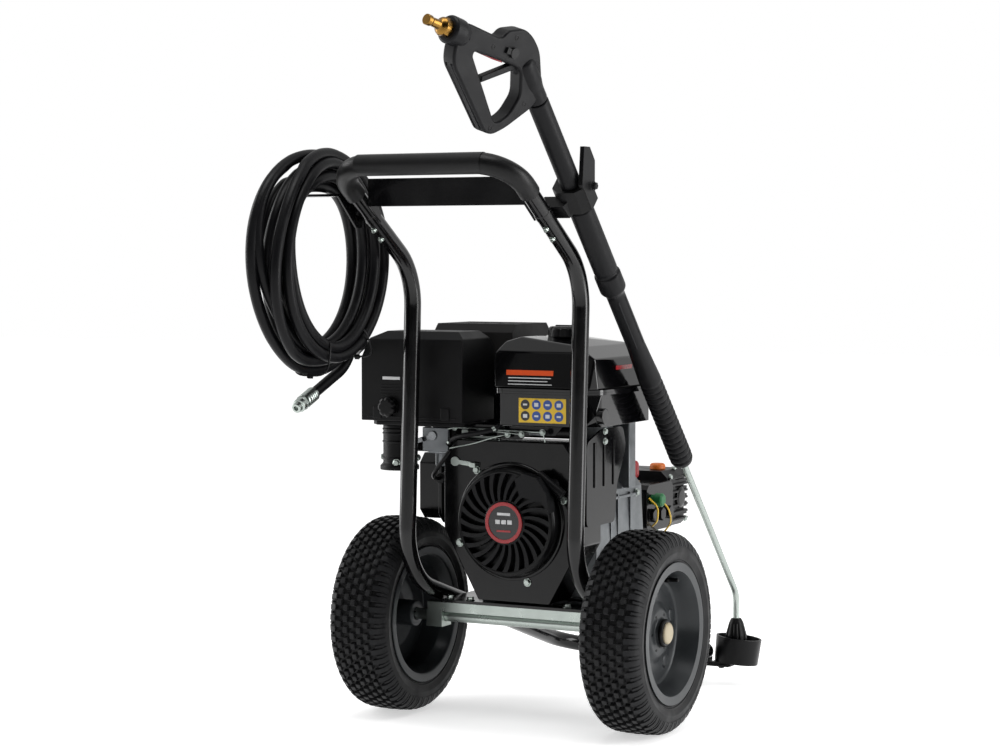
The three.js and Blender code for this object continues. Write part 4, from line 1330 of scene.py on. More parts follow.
# ---------------------------------------------------------------- wheels
@dataclass
class Wheels:
    """Two turf tyres on pressed discs, on a plated axle under a plated beam."""

    tyre_radius: float = 165.0
    half_tyre: float = 52.5
    offset: float = 229.5
    lugs: int = 56
    lug_height: float = 5.0
    rows: Sequence[float] = (-25.5, -12.75, 0.0, 12.75, 25.5)

    def crown(self, x: float) -> float:
        """Returns the radius over the lugs at a distance from the tyre's middle."""
        return self.tyre_radius - 1.6 * (x / 31.5) ** 2

    def carcass(self, middle: Vector) -> bmesh.types.BMesh:
        """Turns the tyre under its lugs, with the raised rings on its walls.

        Args:
            middle: The wheel's middle in metres.

        Returns:
            The turned ring.
        """
        h, r = self.half_tyre, self.tyre_radius
        wall = [
            (104, h - 13), (116, h - 4.8), (119, h - 4.6), (120, h - 3.2), (123, h - 3.0),
            (124, h - 2.2), (130, h - 0.9), (131, h - 0.2), (133, h - 0.2), (134, h - 0.7),
            (141, h - 0.8), (149, h - 3.4), (155, h - 8.5), (r - 8.2, h - 15), (r - 7.2, h - 24),
        ]
        inner = [(r - 14, h - 24), (133, h - 13), (104, h - 22)]
        ring = (
            [(a, -b) for a, b in wall]
            + [(r - 6.6, 0)]
            + [(a, b) for a, b in reversed(wall)]
            + [(a, b) for a, b in reversed(inner)]
            + [(a, -b) for a, b in inner]
        )
        return turned(ring, middle, ALONG_X, 112, closed=True)

    def tread(self, middle: Vector, shape: bmesh.types.BMesh) -> None:
        """Adds the rows of square lugs and the ribs over both shoulders.

        Args:
            middle: The wheel's middle in metres.
            shape: The carcass.
        """
        pitch = 2 * math.pi / self.lugs

        def turns(shift: float) -> list[Matrix]:
            """Returns the place of every lug in a row."""
            return [
                Matrix.Translation(middle) @ Matrix.Rotation(pitch * (i + shift), 4, "X")
                for i in range(self.lugs)
            ]

        for number, x in enumerate(self.rows):
            high = self.lug_height + 3.0
            centre = Vector((x, 0, self.crown(x) - high / 2)) * MM
            lug = block(centre, (9.4, 11.0, high), width=0.9, taper=0.86)
            repeated(lug, shape, turns(0.5 * (number % 2)))
        rib = [
            (33.0, 163.4), (40.5, 160.6), (46.5, 155.4), (50.4, 148.5), (52.3, 141.5),
            (50.0, 141.5), (45.5, 150.5), (39.0, 156.8), (33.0, 158.0),
        ]
        for side in (-1, 1):
            outline = [(side * a, b) for a, b in rib]
            strip = slab(outline, Vector(), ALONG_X, UP, -4.2, 4.2, 0.9)
            repeated(strip, shape, turns(0.5))
            short = [(side * a, b) for a, b in rib[1:-1]]
            between = slab(short, Vector((0, 0, -0.6 * MM)), ALONG_X, UP, -1.8, 1.8, 0.5)
            repeated(between, shape, turns(0.0))

    def rim(self, side: int, word: str, middle: Vector) -> None:
        """Presses one wheel disc, with its valve and hub cap.

        Args:
            side: -1 on the left and 1 on the right.
            word: That side's word in the CAD names.
            middle: The wheel's middle in metres.
        """
        way = Vector((side, 0, 0))
        profile = filleted(
            [
                (115, 50.5), (115, 47.6), (103, 44.5), (103, -44.5), (115, -47.6), (115, -50.5),
                (101, -49.5), (92, -26.5), (92, 10), (60, 9.5), (40, 16), (25, 18), (22, 12),
                (22, -31), (10.2, -31), (10.2, 31), (22, 31), (23, 24.5), (38, 23.5), (50, 17),
                (70, 14.6), (82, 14.6), (86, 16.5), (90, 24), (101, 49.5),
            ],
            2.6,
            3,
        )
        shape = turned(profile, middle, way, 112, closed=True)
        for i in range(5):
            turn = 2 * math.pi * (i + 0.25) / 5
            spoke = Vector((0, math.cos(turn), math.sin(turn)))
            turned(
                filleted([(0, 14), (13, 14), (9, 17.5), (0, 17.9)], 1.5, 3),
                middle + spoke * 64 * MM, way, 24, into=shape,
            )
        body = f"wheel_{word}"
        keep(f"rim_{word}_made", shape, RIM_PAINT, body, [f"rim_{word}"])
        stem_at = middle + Vector((0, 0.35, 0.93)).normalized() * 88 * MM
        stem = turned(
            filleted([(0, 18), (5, 18), (5, 24), (3.4, 27), (3.4, 40), (2.6, 42), (0, 42)], 0.8),
            stem_at, way, 20,
        )
        for i in range(6):
            turn = 2 * math.pi * i / 6
            hole = middle + Vector((0, math.cos(turn), math.sin(turn))) * 31 * MM
            turned([(0, 21), (2.2, 21), (2.2, 24.6), (0, 24.6)], hole, way, 12, into=stem)
        keep(f"valve_{word}", stem, NYLON, body)
        collar = turned(
            filleted([(0, 29), (22.5, 29), (22.5, 33), (20.5, 36), (0, 36)], 1.2), middle, way, 48
        )
        keep(f"hub_collar_{word}", collar, NYLON, body)
        cap = turned(
            filleted([(0, 35), (17.5, 35), (17.5, 38.5), (14, 41), (0, 41.8)], 2.2, 5),
            middle, way, 48,
        )
        keep(f"hub_cap_{word}", cap, CREAM_PLASTIC, body)

    def build(self) -> None:
        """Makes both wheels, the axle and its beam."""
        for side, word in ((-1, "left"), (1, "right")):
            middle = at(side * self.offset, 0, self.tyre_radius)
            shape = self.carcass(middle)
            self.tread(middle, shape)
            keep(f"tyre_{word}_made", shape, TYRE_RUBBER, f"wheel_{word}",
                 [f"tyre_{word}"])
            self.rim(side, word, middle)
        dress("axle_beam", ZINC, width=1.0)
        dress("axle_bar", ZINC, width=0.8)
        shape = bmesh.new()
        for x in (-128, -90, 90, 128):
            hexagon_head(at(x, -10, 196), UP, 12, shape)
        keep("beam_bolts", shape, ZINC, crease=30)
        log.info("wheels: %d lugs on each tyre", self.lugs * len(self.rows))


# ---------------------------------------------------------------- engine
@dataclass
class Engine:
    """The single-cylinder engine: castings, fan housing, recoil starter and their labels."""

    crank: tuple[float, float] = (0.0, 336.0)
    housing_y: float = -35.0
    recoil_y: float = -60.0
    badge_radius: float = 34.0

    def on_face(self, radius: float, degrees: float, y: float) -> Vector:
        """Returns a place on a face square to the crankshaft."""
        turn = math.radians(degrees)
        x, z = self.crank
        return at(x + radius * math.cos(turn), y, z + radius * math.sin(turn))

    def badge(self) -> None:
        """Makes the round badge: a black disc in a red ring, with plain bars."""
        way = -ALONG_Y
        centre = self.on_face(0, 0, self.recoil_y)
        r = self.badge_radius
        disc = turned(filleted([(0, 0), (r - 1, 0), (r - 1, 1.2), (0, 1.5)], 0.5), centre, way, 72)
        keep("badge_disc", disc, BLACK_FILM)
        ring = turned(
            filleted([(r - 6, 1.0), (r - 6, 2.4), (r, 2.4), (r, 0), (r - 2, 0)], 0.6, 3),
            centre, way, 72, closed=True,
        )
        keep("badge_ring", ring, RED_FILM)
        bars = bmesh.new()
        for x, z, w, h in ((0, 14, 24, 4.4), (-11, 1, 8.5, 7), (0, 1, 8.5, 7), (11, 1, 8.5, 7)):
            block(centre + Vector((x, -1.7, z)) * MM, (w, 0.8, h), width=0.25, into=bars)
        keep("badge_bars", bars, WHITE_FILM)
        low = block(centre + Vector((0, -1.7, -14)) * MM, (26, 0.8, 3.2), width=0.25)
        keep("badge_red_bar", low, RED_FILM)

    def slotted_cover(self) -> None:
        """Moulds the starter cover, with slanted slots that widen outwards."""
        centre = self.on_face(0, 0, self.housing_y)
        shape = turned(
            filleted([(84, 0.3), (90, 0.3), (90, 18), (86, 24.3), (81, 24.9), (81, 20), (84, 17)],
                     2, 3),
            centre, -ALONG_Y, 96, closed=True,
        )
        turned(filleted([(0, 12), (38, 12), (38, 23), (35.5, 24.9), (0, 24.9)], 1.5, 3), centre,
               -ALONG_Y, 72, into=shape)
        # A flat black disc closes the slots from behind. It is painted shade: it stands for the dark inside
        # of the starter, where the fan would show through the slots.
        turned([(0, 5), (85, 5), (85, 9), (0, 9)], centre, -ALONG_Y, 72, into=shape)
        inner, outer, slots = 36.0, 83.0, 24
        for i in range(slots):
            near, far = [], []
            for step in range(6):
                share = step / 5
                r = inner + (outer - inner) * share
                turn = 2 * math.pi * i / slots - math.radians(15) * share**1.3
                half = (2.1 + 2.4 * share) / r
                near.append((r * math.cos(turn - half), r * math.sin(turn - half)))
                far.append((r * math.cos(turn + half), r * math.sin(turn + half)))
            rib = slab(near + far[::-1], centre, ALONG_X, UP, 13, 24.2, 0.9)
            repeated(rib, shape)
        keep("recoil_cover_made", shape, NYLON, "root", ["recoil_cover"])

    def recoil(self) -> None:
        """Dresses the slotted starter cover and its rope guide."""
        self.slotted_cover()
        dress("recoil_handle", NYLON, "starter_grip", width=1.5)
        lip = turned(
            filleted([(91.5, 0), (98, 0), (98, 2.5), (95.5, 4.5), (91.5, 4)], 1.4, 3),
            self.on_face(0, 0, self.housing_y), -ALONG_Y, 96, closed=True,
        )
        keep("starter_lip", lip, ENGINE_PAINT)
        guide = slab(
            [(40, 46), (78, 40), (92, 22), (88, 52), (70, 78), (46, 84), (30, 74)],
            self.on_face(0, 0, self.recoil_y), ALONG_X, UP, -3.5, 22, 2.5,
        )
        keep("rope_guide", guide, NYLON)

    def fasteners(self) -> None:
        """Bolts the housing, the crankcase feet and the castings together."""
        shape = bmesh.new()
        for degrees in (-73, 22, 128, 203):
            hexagon_head(self.on_face(104, degrees, self.housing_y), -ALONG_Y, 11, shape)
        for x in (-111, 118):
            for y in (86, 206):
                hexagon_head(at(x, y, 208), UP, 13, shape)
        for z, y in ((262, 70), (262, 205), (368, 205), (340, 70)):
            hexagon_head(at(116, y, z), ALONG_X, 11, shape)
        for place, way in (((-196, 184), ALONG_Y), ((-236, 125), -ALONG_X)):
            for z in (330, 420):
                hexagon_head(at(*place, z), way, 10, shape)
        for z in (474, 490):
            hexagon_head(at(168, -31, z), ALONG_X, 9, shape)
        keep("engine_bolts", shape, ZINC, crease=30)

    def ribs(self) -> None:
        """Adds the stiffening ribs and the oil drain to the crankcase's right side."""
        shape = bmesh.new()
        for y in (100, 128, 178):
            block(at(117, y, 318), (5, 4, 108), width=1.2, into=shape)
        block(at(117, 138, 366), (5, 150, 5), width=1.2, into=shape)
        turned(filleted([(0, 0), (17, 0), (17, 5), (0, 5)], 1.5), at(114, 150, 268), ALONG_X, 32,
               into=shape)
        turned(filleted([(0, 0), (9, 0), (9, 8), (0, 8)], 1), at(114, 100, 232), ALONG_X, 6,
               into=shape)
        keep("crankcase_ribs", shape, ALUMINIUM)

    def side_shroud(self) -> None:
        """Presses the air shroud that hides the castings behind the fan housing."""
        outline = filleted(
            [(55, 330), (-20, 330), (-20, 468), (40, 488), (120, 488), (132, 452), (96, 392),
             (88, 330), (55, 330)],
            12,
        )
        shape = slab(outline[:-1], at(127.2, 0, 0), ALONG_Y, UP, 0, 3.6, 1.0)
        for y in (10, 46, 82):
            block(at(131.5, y, 430), (3, 6, 74), width=1.2, into=shape)
        keep("side_shroud", shape, ENGINE_PAINT)

    def build(self) -> None:
        """Makes the engine's block, housing and starter."""
        dress("crankcase", ALUMINIUM, width=3.0, steps=3)
        dress("cylinder_block", ALUMINIUM, width=0.7)
        dress("rocker_cover", ENGINE_PAINT, width=3.0, steps=3)
        dress("blower_housing", ENGINE_PAINT, width=5.0, steps=4, sharper_than=25)
        dress("flywheel_fan", ALUMINIUM, "crank", width=0.8)
        dress("crankshaft", STEEL, "crank", width=1.0)
        self.recoil()
        self.badge()
        self.fasteners()
        self.ribs()
        self.side_shroud()
        log.info("engine: castings, housing and starter")


@dataclass
class FuelTank:
    """The two pressed halves of the tank, its cap and its labels."""

    left: float = -40.0
    right: float = 166.0
    rear: float = -55.0
    front: float = 184.0
    seam: float = 552.0
    bottom: float = 496.0
    top: float = 640.0
    rear_slope: float = 7.0 / 64.0

    def flange(self, low: float, high: float) -> bmesh.types.BMesh:
        """Draws one half of the seam flange.

        Args:
            low: Its underside.
            high: Its top.

        Returns:
            The flange.
        """
        c = 24
        x0, x1, y0, y1 = self.left, self.right, self.rear, self.front
        corners = [
            (x0 + c, y0), (x1 - c, y0), (x1, y0 + c), (x1, y1 - c),
            (x1 - c, y1), (x0 + c, y1), (x0, y1 - c), (x0, y0 + c), (x0 + c, y0),
        ]
        middle = corners[1:] + [corners[1]]
        outline = filleted([corners[0], *middle], 14, 5)[1:-1]
        return slab(outline, at(0, 0, 0), ALONG_X, ALONG_Y, low, high, 1.1)

    def halves(self) -> None:
        """Presses the two halves."""
        inside_x = (self.left + 4, self.right - 3)
        inside_y = (self.rear + 3, self.front - 3)

        def counts(low: float, high: float) -> Any:
            """Returns a test for corners of the body between two heights."""
            return lambda x, y, z: (
                inside_x[0] < x < inside_x[1]
                and inside_y[0] < y < inside_y[1]
                and low < z < high
            )

        upper = skin_of("fuel_tank_upper", counts(self.seam + 3.5, self.top + 0.5), 10.0, 6)
        flange = self.flange(self.seam + 0.15, self.seam + 4.1)
        repeated(flange, upper)
        turned(
            filleted([(22, -10), (22, -1.8), (26, -1.8), (26, -6), (30, -9)], 1.5, 3),
            at(70, 34, self.top), UP, 48, closed=True, into=upper,
        )
        keep("fuel_tank_upper_made", upper, TANK_PAINT, "root",
             ["fuel_tank_upper"], crease=50)
        lower = skin_of("fuel_tank_lower", counts(self.bottom - 1, self.seam - 3.5), 8.0, 5)
        repeated(self.flange(self.seam - 4, self.seam - 0.15), lower)
        turned(filleted([(0, 0), (13, 0), (13, 12), (0, 12)], 1.5), at(158, -31, 514), ALONG_X,
               32, into=lower)
        keep("fuel_tank_lower_made", lower, TANK_PAINT, "root",
             ["fuel_tank_lower"], crease=50)

    def cap(self) -> None:
        """Moulds the fuel cap with its finger flutes."""

        def flute(radius: float, along: float, turn: float) -> float:
            """Returns the radius with twelve shallow flutes."""
            dip = max(0.0, math.cos(12 * turn)) ** 2
            return radius - 2.0 * dip if radius > 25 and along > 3 else radius

        profile = filleted([(0, 0), (33, 0), (33, 14.5), (29, 18), (0, 18.4)], 2.2, 4)
        shape = turned(profile, at(70, 34, self.top - 1.7), UP, 144, flute=flute)
        block(at(70, 34, self.top + 17.4), (44, 6, 2.2), width=1.0, into=shape)
        keep("fuel_cap_made", shape, NYLON, "cap", ["fuel_cap"])

    def face_y(self, z: float) -> float:
        """Returns where the rear face lies at a height."""
        return -49 + self.rear_slope * (z - self.seam) if z > self.seam else -50

    def labels(self) -> None:
        """Sticks on the plain labels: an orange strip, and a yellow one with two rows of discs."""
        tilt = math.atan(self.rear_slope)
        up = Vector((0, math.sin(tilt), math.cos(tilt)))
        out = ALONG_X.cross(up)
        axes = (ALONG_X, up, out)
        y = self.face_y(581) - 0.3
        strip = block(at(40, y, 582), (86, 8.4, 0.6), axes, 0.2)
        keep("strip_orange", strip, ORANGE_FILM)
        bars = bmesh.new()
        for row, length in enumerate((78, 72, 80)):
            z = 573.5 - row * 5.2
            block(at(1 + length / 2, self.face_y(z) - 0.25, z), (length, 1.5, 0.4), axes, 0.1,
                  into=bars)
        keep("strip_lines", bars, WHITE_FILM)
        panel = block(at(65, -50.2, 521), (86, 0.6, 40), width=0.25)
        keep("panel_yellow", panel, YELLOW_FILM)
        blue, dark, marks = bmesh.new(), bmesh.new(), bmesh.new()
        for i in range(4):
            for j in range(2):
                x, z = 34 + i * 20.4, 530.5 - j * 18.6
                disc = [(0, 0), (8.0, 0), (8.0, 0.5), (0, 0.5)]
                turned(disc, at(x, -50.4, z), -ALONG_Y, 32, into=blue if i else dark)
                mark = (7.5, 0.5, 3 + 3 * ((i + j) % 2))
                block(at(x, -50.9, z), mark, width=0.15, into=marks)
        keep("panel_discs_blue", blue, BLUE_FILM)
        keep("panel_discs_dark", dark, BLACK_FILM)
        keep("panel_marks", marks, WHITE_FILM)
        side = block(at(self.right - 6.2, 60, 590), (0.6, 62, 7), width=0.2)
        keep("strip_red_side", side, RED_FILM)

    def build(self) -> None:
        """Makes the tank."""
        self.halves()
        self.cap()
        self.labels()
        log.info("fuel tank: two halves, cap and labels")


@dataclass
class AirCleaner:
    """The moulded air cleaner box with its knob, base and round chamber."""

    left: float = -272.0
    right: float = -78.0
    rear: float = -60.0
    bottom: float = 496.0
    top: float = 647.0

    def cover(self) -> None:
        """Moulds the cover, with its ribs and light strip."""
        shape = skin_of("air_cleaner_cover", lambda x, y, z: z > self.bottom - 0.5, 9.0, 5)
        for i in range(4):
            block(at(-206, self.rear - 0.3, 556 - i * 5), (54, 1.6, 2), width=0.5, into=shape)
        block(at(-175, self.rear - 0.1, self.bottom + 7), (170, 1.6, 3), width=0.6, into=shape)
        for x in (-240, -110):
            block(at(x, self.rear - 0.6, self.bottom + 14), (16, 4, 20), width=1.4, into=shape)
        keep("air_cleaner_cover_made", shape, CLEANER_ABS, "root",
             ["air_cleaner_cover"], crease=50)
        strip = block(at(-213, self.rear - 0.6, 568), (34, 0.8, 5), width=0.25)
        keep("strip_light", strip, WHITE_FILM)

    def knob(self) -> None:
        """Moulds the knob with its lobes."""

        def flute(radius: float, along: float, turn: float) -> float:
            """Returns the radius with seven lobes."""
            return radius - 1.8 * max(0.0, math.cos(7 * turn)) if radius > 9 and along > 1 else radius

        profile = filleted([(0, 0), (15, 0), (17, 3), (17, 12), (13, 15), (0, 15)], 1.5, 3)
        shape = turned(profile, at(-216, self.rear - 0.3, 520), -ALONG_Y, 84, flute=flute)
        keep("air_cleaner_knob_made", shape, NYLON, "cleaner_nut",
             ["air_cleaner_knob"])

    def chamber(self) -> None:
        """Moulds the round chamber with its rings and clip screws."""
        profile = [(0, 0), (33, 0), (33, 7), (28, 12)]
        for z in (20, 48, 62, 69):
            profile += [(28, z - 2), (29.4, z - 1), (29.4, z + 1), (28, z + 2)]
        profile += [(28, 76.4), (0, 76.4)]
        shape = turned(filleted(profile, 1.5, 3), at(-224, -14, 411), UP, 64)
        piped([at(-224, 8, 450), at(-172.4, 8, 450)], 9, 24, into=shape)
        keep("intake_resonator_made", shape, CLEANER_ABS, "root",
             ["intake_resonator"])
        screws = bmesh.new()
        hexagon_head(at(-251, -22, 432), Vector((-1, -0.35, 0)), 9, screws)
        hexagon_head(at(-215, -40.5, 424), Vector((0.25, -1, 0)), 11, screws)
        hexagon_head(at(-190, -12, 432), Vector((1, -0.2, 0)), 9, screws)
        keep("chamber_screws", screws, ZINC, crease=30)

    def build(self) -> None:
        """Makes the air cleaner."""
        self.cover()
        self.knob()
        self.chamber()
        dress("air_cleaner_base", CLEANER_ABS, width=1.5)
        log.info("air cleaner: cover, knob, base and chamber")


@dataclass
class Controls:
    """The carburettor, exhaust, levers and the rods, springs, hoses and wires between them."""

    wire: float = 1.3

    def spring(self, start: Vector, end: Vector, radius: float, turns: int) -> bmesh.types.BMesh:
        """Winds a pull spring with straight ends.

        Args:
            start: Where it hooks on, in metres.
            end: Where it hooks off.
            radius: Its coil radius in millimetres.
            turns: How many turns it has.

        Returns:
            The spring.
        """
        first, second, along = square_to(end - start)
        length = (end - start).length
        route = [start]
        for i in range(turns * 12 + 1):
            turn = 2 * math.pi * i / 12
            share = 0.2 + 0.6 * i / (turns * 12)
            spoke = first * math.cos(turn) + second * math.sin(turn)
            route.append(start + along * length * share + spoke * radius * MM)
        return piped(route + [end], 0.6, 6)

    def linkage(self) -> None:
        """Makes the governor rods and springs over the housing."""
        rods = piped([at(-122, -28, 484), at(-108, -30, 487), at(56, -30, 484), at(60, -28, 462)],
                     self.wire, 10)
        piped(smooth_route([at(-116, -34, 452), at(-70, -38, 462), at(-30, -34, 474),
                            at(-12, -20, 478)], 6), self.wire, 10, into=rods)
        piped([at(-60, -2, 484.5), at(-60, -30, 484.5), at(20, -36, 480)], 1.0, 10, into=rods)
        for place in (at(56, -31, 484), at(-12, -24, 478), at(20, -36, 480), at(-108, -31, 487)):
            hexagon_head(place, -ALONG_Y, 8.5, rods)
        keep("governor_rods", rods, ZINC, crease=30)
        springs = self.spring(at(-80, -26, 481), at(-20, -26, 484), 3.2, 14)
        other = self.spring(at(24, -30, 482), at(58, -26, 480), 2.8, 9)
        repeated(other, springs)
        keep("governor_springs", springs, STEEL)
        plate = slab([(-112, 485), (-36, 485), (-36, 470), (10, 470), (16, 476), (72, 478),
                      (84, 492), (-112, 492)],
                     at(0, -14, 0), ALONG_X, UP, 0, 2.5, 0.7)
        keep("control_bracket", plate, ENGINE_PAINT)
        cover = block(at(-8, 106, 481.5), (178, 160, 23), width=3)
        keep("tank_bracket", cover, ENGINE_PAINT)
        baffle = block(at(-150, 55, 470), (88, 5, 48), width=1.5)
        keep("carburettor_baffle", baffle, NYLON)

    def hoses(self) -> None:
        """Makes the fuel hose, breather, plug lead and pump wires."""
        fuel = piped(smooth_route([at(-20, -30, 497), at(-32, -40, 486), at(-70, -44, 478),
                                   at(-106, -34, 470), at(-128, -18, 458)], 6), 4.2, 16)
        keep("fuel_hose", fuel, HOSE_RUBBER)
        lead = piped(smooth_route([at(-160, 14, 396), at(-160, -6, 398), at(-150, -26, 408),
                                   at(-128, -34, 432), at(-112, -30, 452), at(-104, -22, 466)], 6),
                     3.6, 16)
        keep("plug_lead", lead, NYLON)
        breather = piped(smooth_route([at(-210, 100, 436), at(-214, 80, 452), at(-206, 52, 470),
                                       at(-196, 36, 487)], 6), 6, 16)
        keep("breather_hose", breather, HOSE_RUBBER)
        wires = piped(smooth_route([at(112, 268, 352), at(124, 276, 336), at(118, 290, 312),
                                    at(106, 298, 300)], 6), 1.6, 10)
        piped(smooth_route([at(112, 300, 346), at(128, 310, 334), at(126, 330, 306),
                            at(110, 340, 286)], 6), 1.6, 10, into=wires)
        keep("pump_wires", wires, YELLOW_FILM)
        clips = bmesh.new()
        for place, way in ((at(-30, -39, 487), Vector((-0.7, -0.5, -0.5))),
                           (at(-122, -23, 462), Vector((-0.75, 0.4, -0.5)))):
            turned([(4.2, -2.5), (5.0, -2.5), (5.0, 2.5), (4.2, 2.5)], place, way, 24,
                   closed=True, into=clips)
        keep("hose_clips", clips, ZINC)

    def build(self) -> None:
        """Makes the carburettor, levers, exhaust and what joins them."""
        dress("carburettor", ALUMINIUM, width=1.5)
        dress("choke_lever", STEEL, "choke", width=0.5)
        dress("fuel_valve_lever", ZINC, "fuel_valve", width=0.5)
        dress("throttle_lever", ZINC, "throttle", width=0.6)
        dress("spark_plug", NYLON, width=0.8)
        dress("oil_dipstick", NYLON, "dipstick", width=1.0)
        dress("muffler", HEAT_PAINT, width=4.0, steps=4, sharper_than=50)
        dress("muffler_guard", HEAT_PAINT, width=0.6, sharper_than=50)
        self.linkage()
        self.hoses()
        log.info("controls: carburettor, exhaust, levers, rods and hoses")


@dataclass
class Pump:
    """The high pressure pump on its bell housing, with its valves and fittings."""

    right: float = 90.0
    front: float = 485.0
    top: float = 387.0

    def head(self) -> None:
        """Dresses the finned head, with its side boss and bolts."""
        dress("pump_crankcase", NYLON, width=1.6)
        boss = turned(
            filleted([(0, -3), (19, -3), (19, 3), (14, 5), (0, 5.4)], 1.4), at(self.right, 452, 336),
            ALONG_X, 48,
        )
        for i in range(3):
            turned(
                filleted([(0, -2), (11, -2), (11, 7), (8, 9), (0, 9)], 1), at(-40 + i * 34,
                self.front, 350), ALONG_Y, 32, into=boss,
            )
        keep("pump_bosses", boss, ENGINE_PAINT)
        bolts = bmesh.new()
        for z in (296, 376):
            for y in (408, 474):
                hexagon_head(at(self.right, y, z), ALONG_X, 9, bolts)
        for x in (-60, 78):
            for z in (298, 374):
                hexagon_head(at(x, self.front, z), ALONG_Y, 9, bolts)
            hexagon_head(at(x, 452, self.top), UP, 9, bolts)
        for i in range(4):
            turn = math.pi / 4 + i * math.pi / 2
            place = at(68 * math.cos(turn), 244, 336 + 68 * math.sin(turn))
            hexagon_head(place, ALONG_Y, 11, bolts)
        keep("pump_bolts", bolts, ZINC, crease=30)
        ribs = bmesh.new()
        for i in range(7):
            block(at(-76.5, 440, 298 + i * 12.5), (9, 78, 4), width=1.2, into=ribs)
            block(at(self.right + 1.5, 440, 298 + i * 12.5), (5, 82, 4), width=1.0, into=ribs)
            block(at(6, self.front + 1.5, 298 + i * 12.5), (150, 5, 4), width=1.0, into=ribs)
        keep("pump_fins", ribs, NYLON)

    def red_knob(self) -> None:
        """Moulds the pressure knob with its finger ribs."""

        def flute(radius: float, along: float, turn: float) -> float:
            """Returns the radius with ten ribs."""
            return radius - 1.3 * max(0.0, math.cos(10 * turn)) if radius > 8 and along > 4 else radius

        profile = filleted([(0, 0), (12, 0), (15, 5), (15, 25), (12, 30), (0, 31)], 2, 4)
        low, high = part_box("unloader_knob")
        foot = Vector(((low.x + high.x) / 2, (low.y + high.y) / 2, low.z))
        shape = turned(profile, foot, UP, 100, flute=flute)
        keep("unloader_knob_made", shape, RED_PLASTIC, "pressure_knob",
             ["unloader_knob"])
        base = turned(filleted([(9, 0), (17, 0), (17, 5), (9, 5)], 1), foot - UP * 10 * MM, UP, 32,
                      closed=True)
        keep("unloader_collar", base, BRASS)

    def build(self) -> None:
        """Makes the pump and its fittings."""
        self.head()
        self.red_knob()
        dress("bell_housing", ALUMINIUM, width=2.0, sharper_than=45)
        dress("pump_manifold", ENGINE_PAINT, width=2.0)
        dress("pump_oil_cap", ORANGE_PLASTIC, "pump_cap", width=1.2)
        dress("thermal_valve", GREEN_PLASTIC, width=0.8)
        dress("outlet_fitting", GREEN_PLASTIC, width=0.8)
        dress("inlet_fitting", BRASS, width=0.8)
        log.info("pump: head, bell, manifold and fittings")


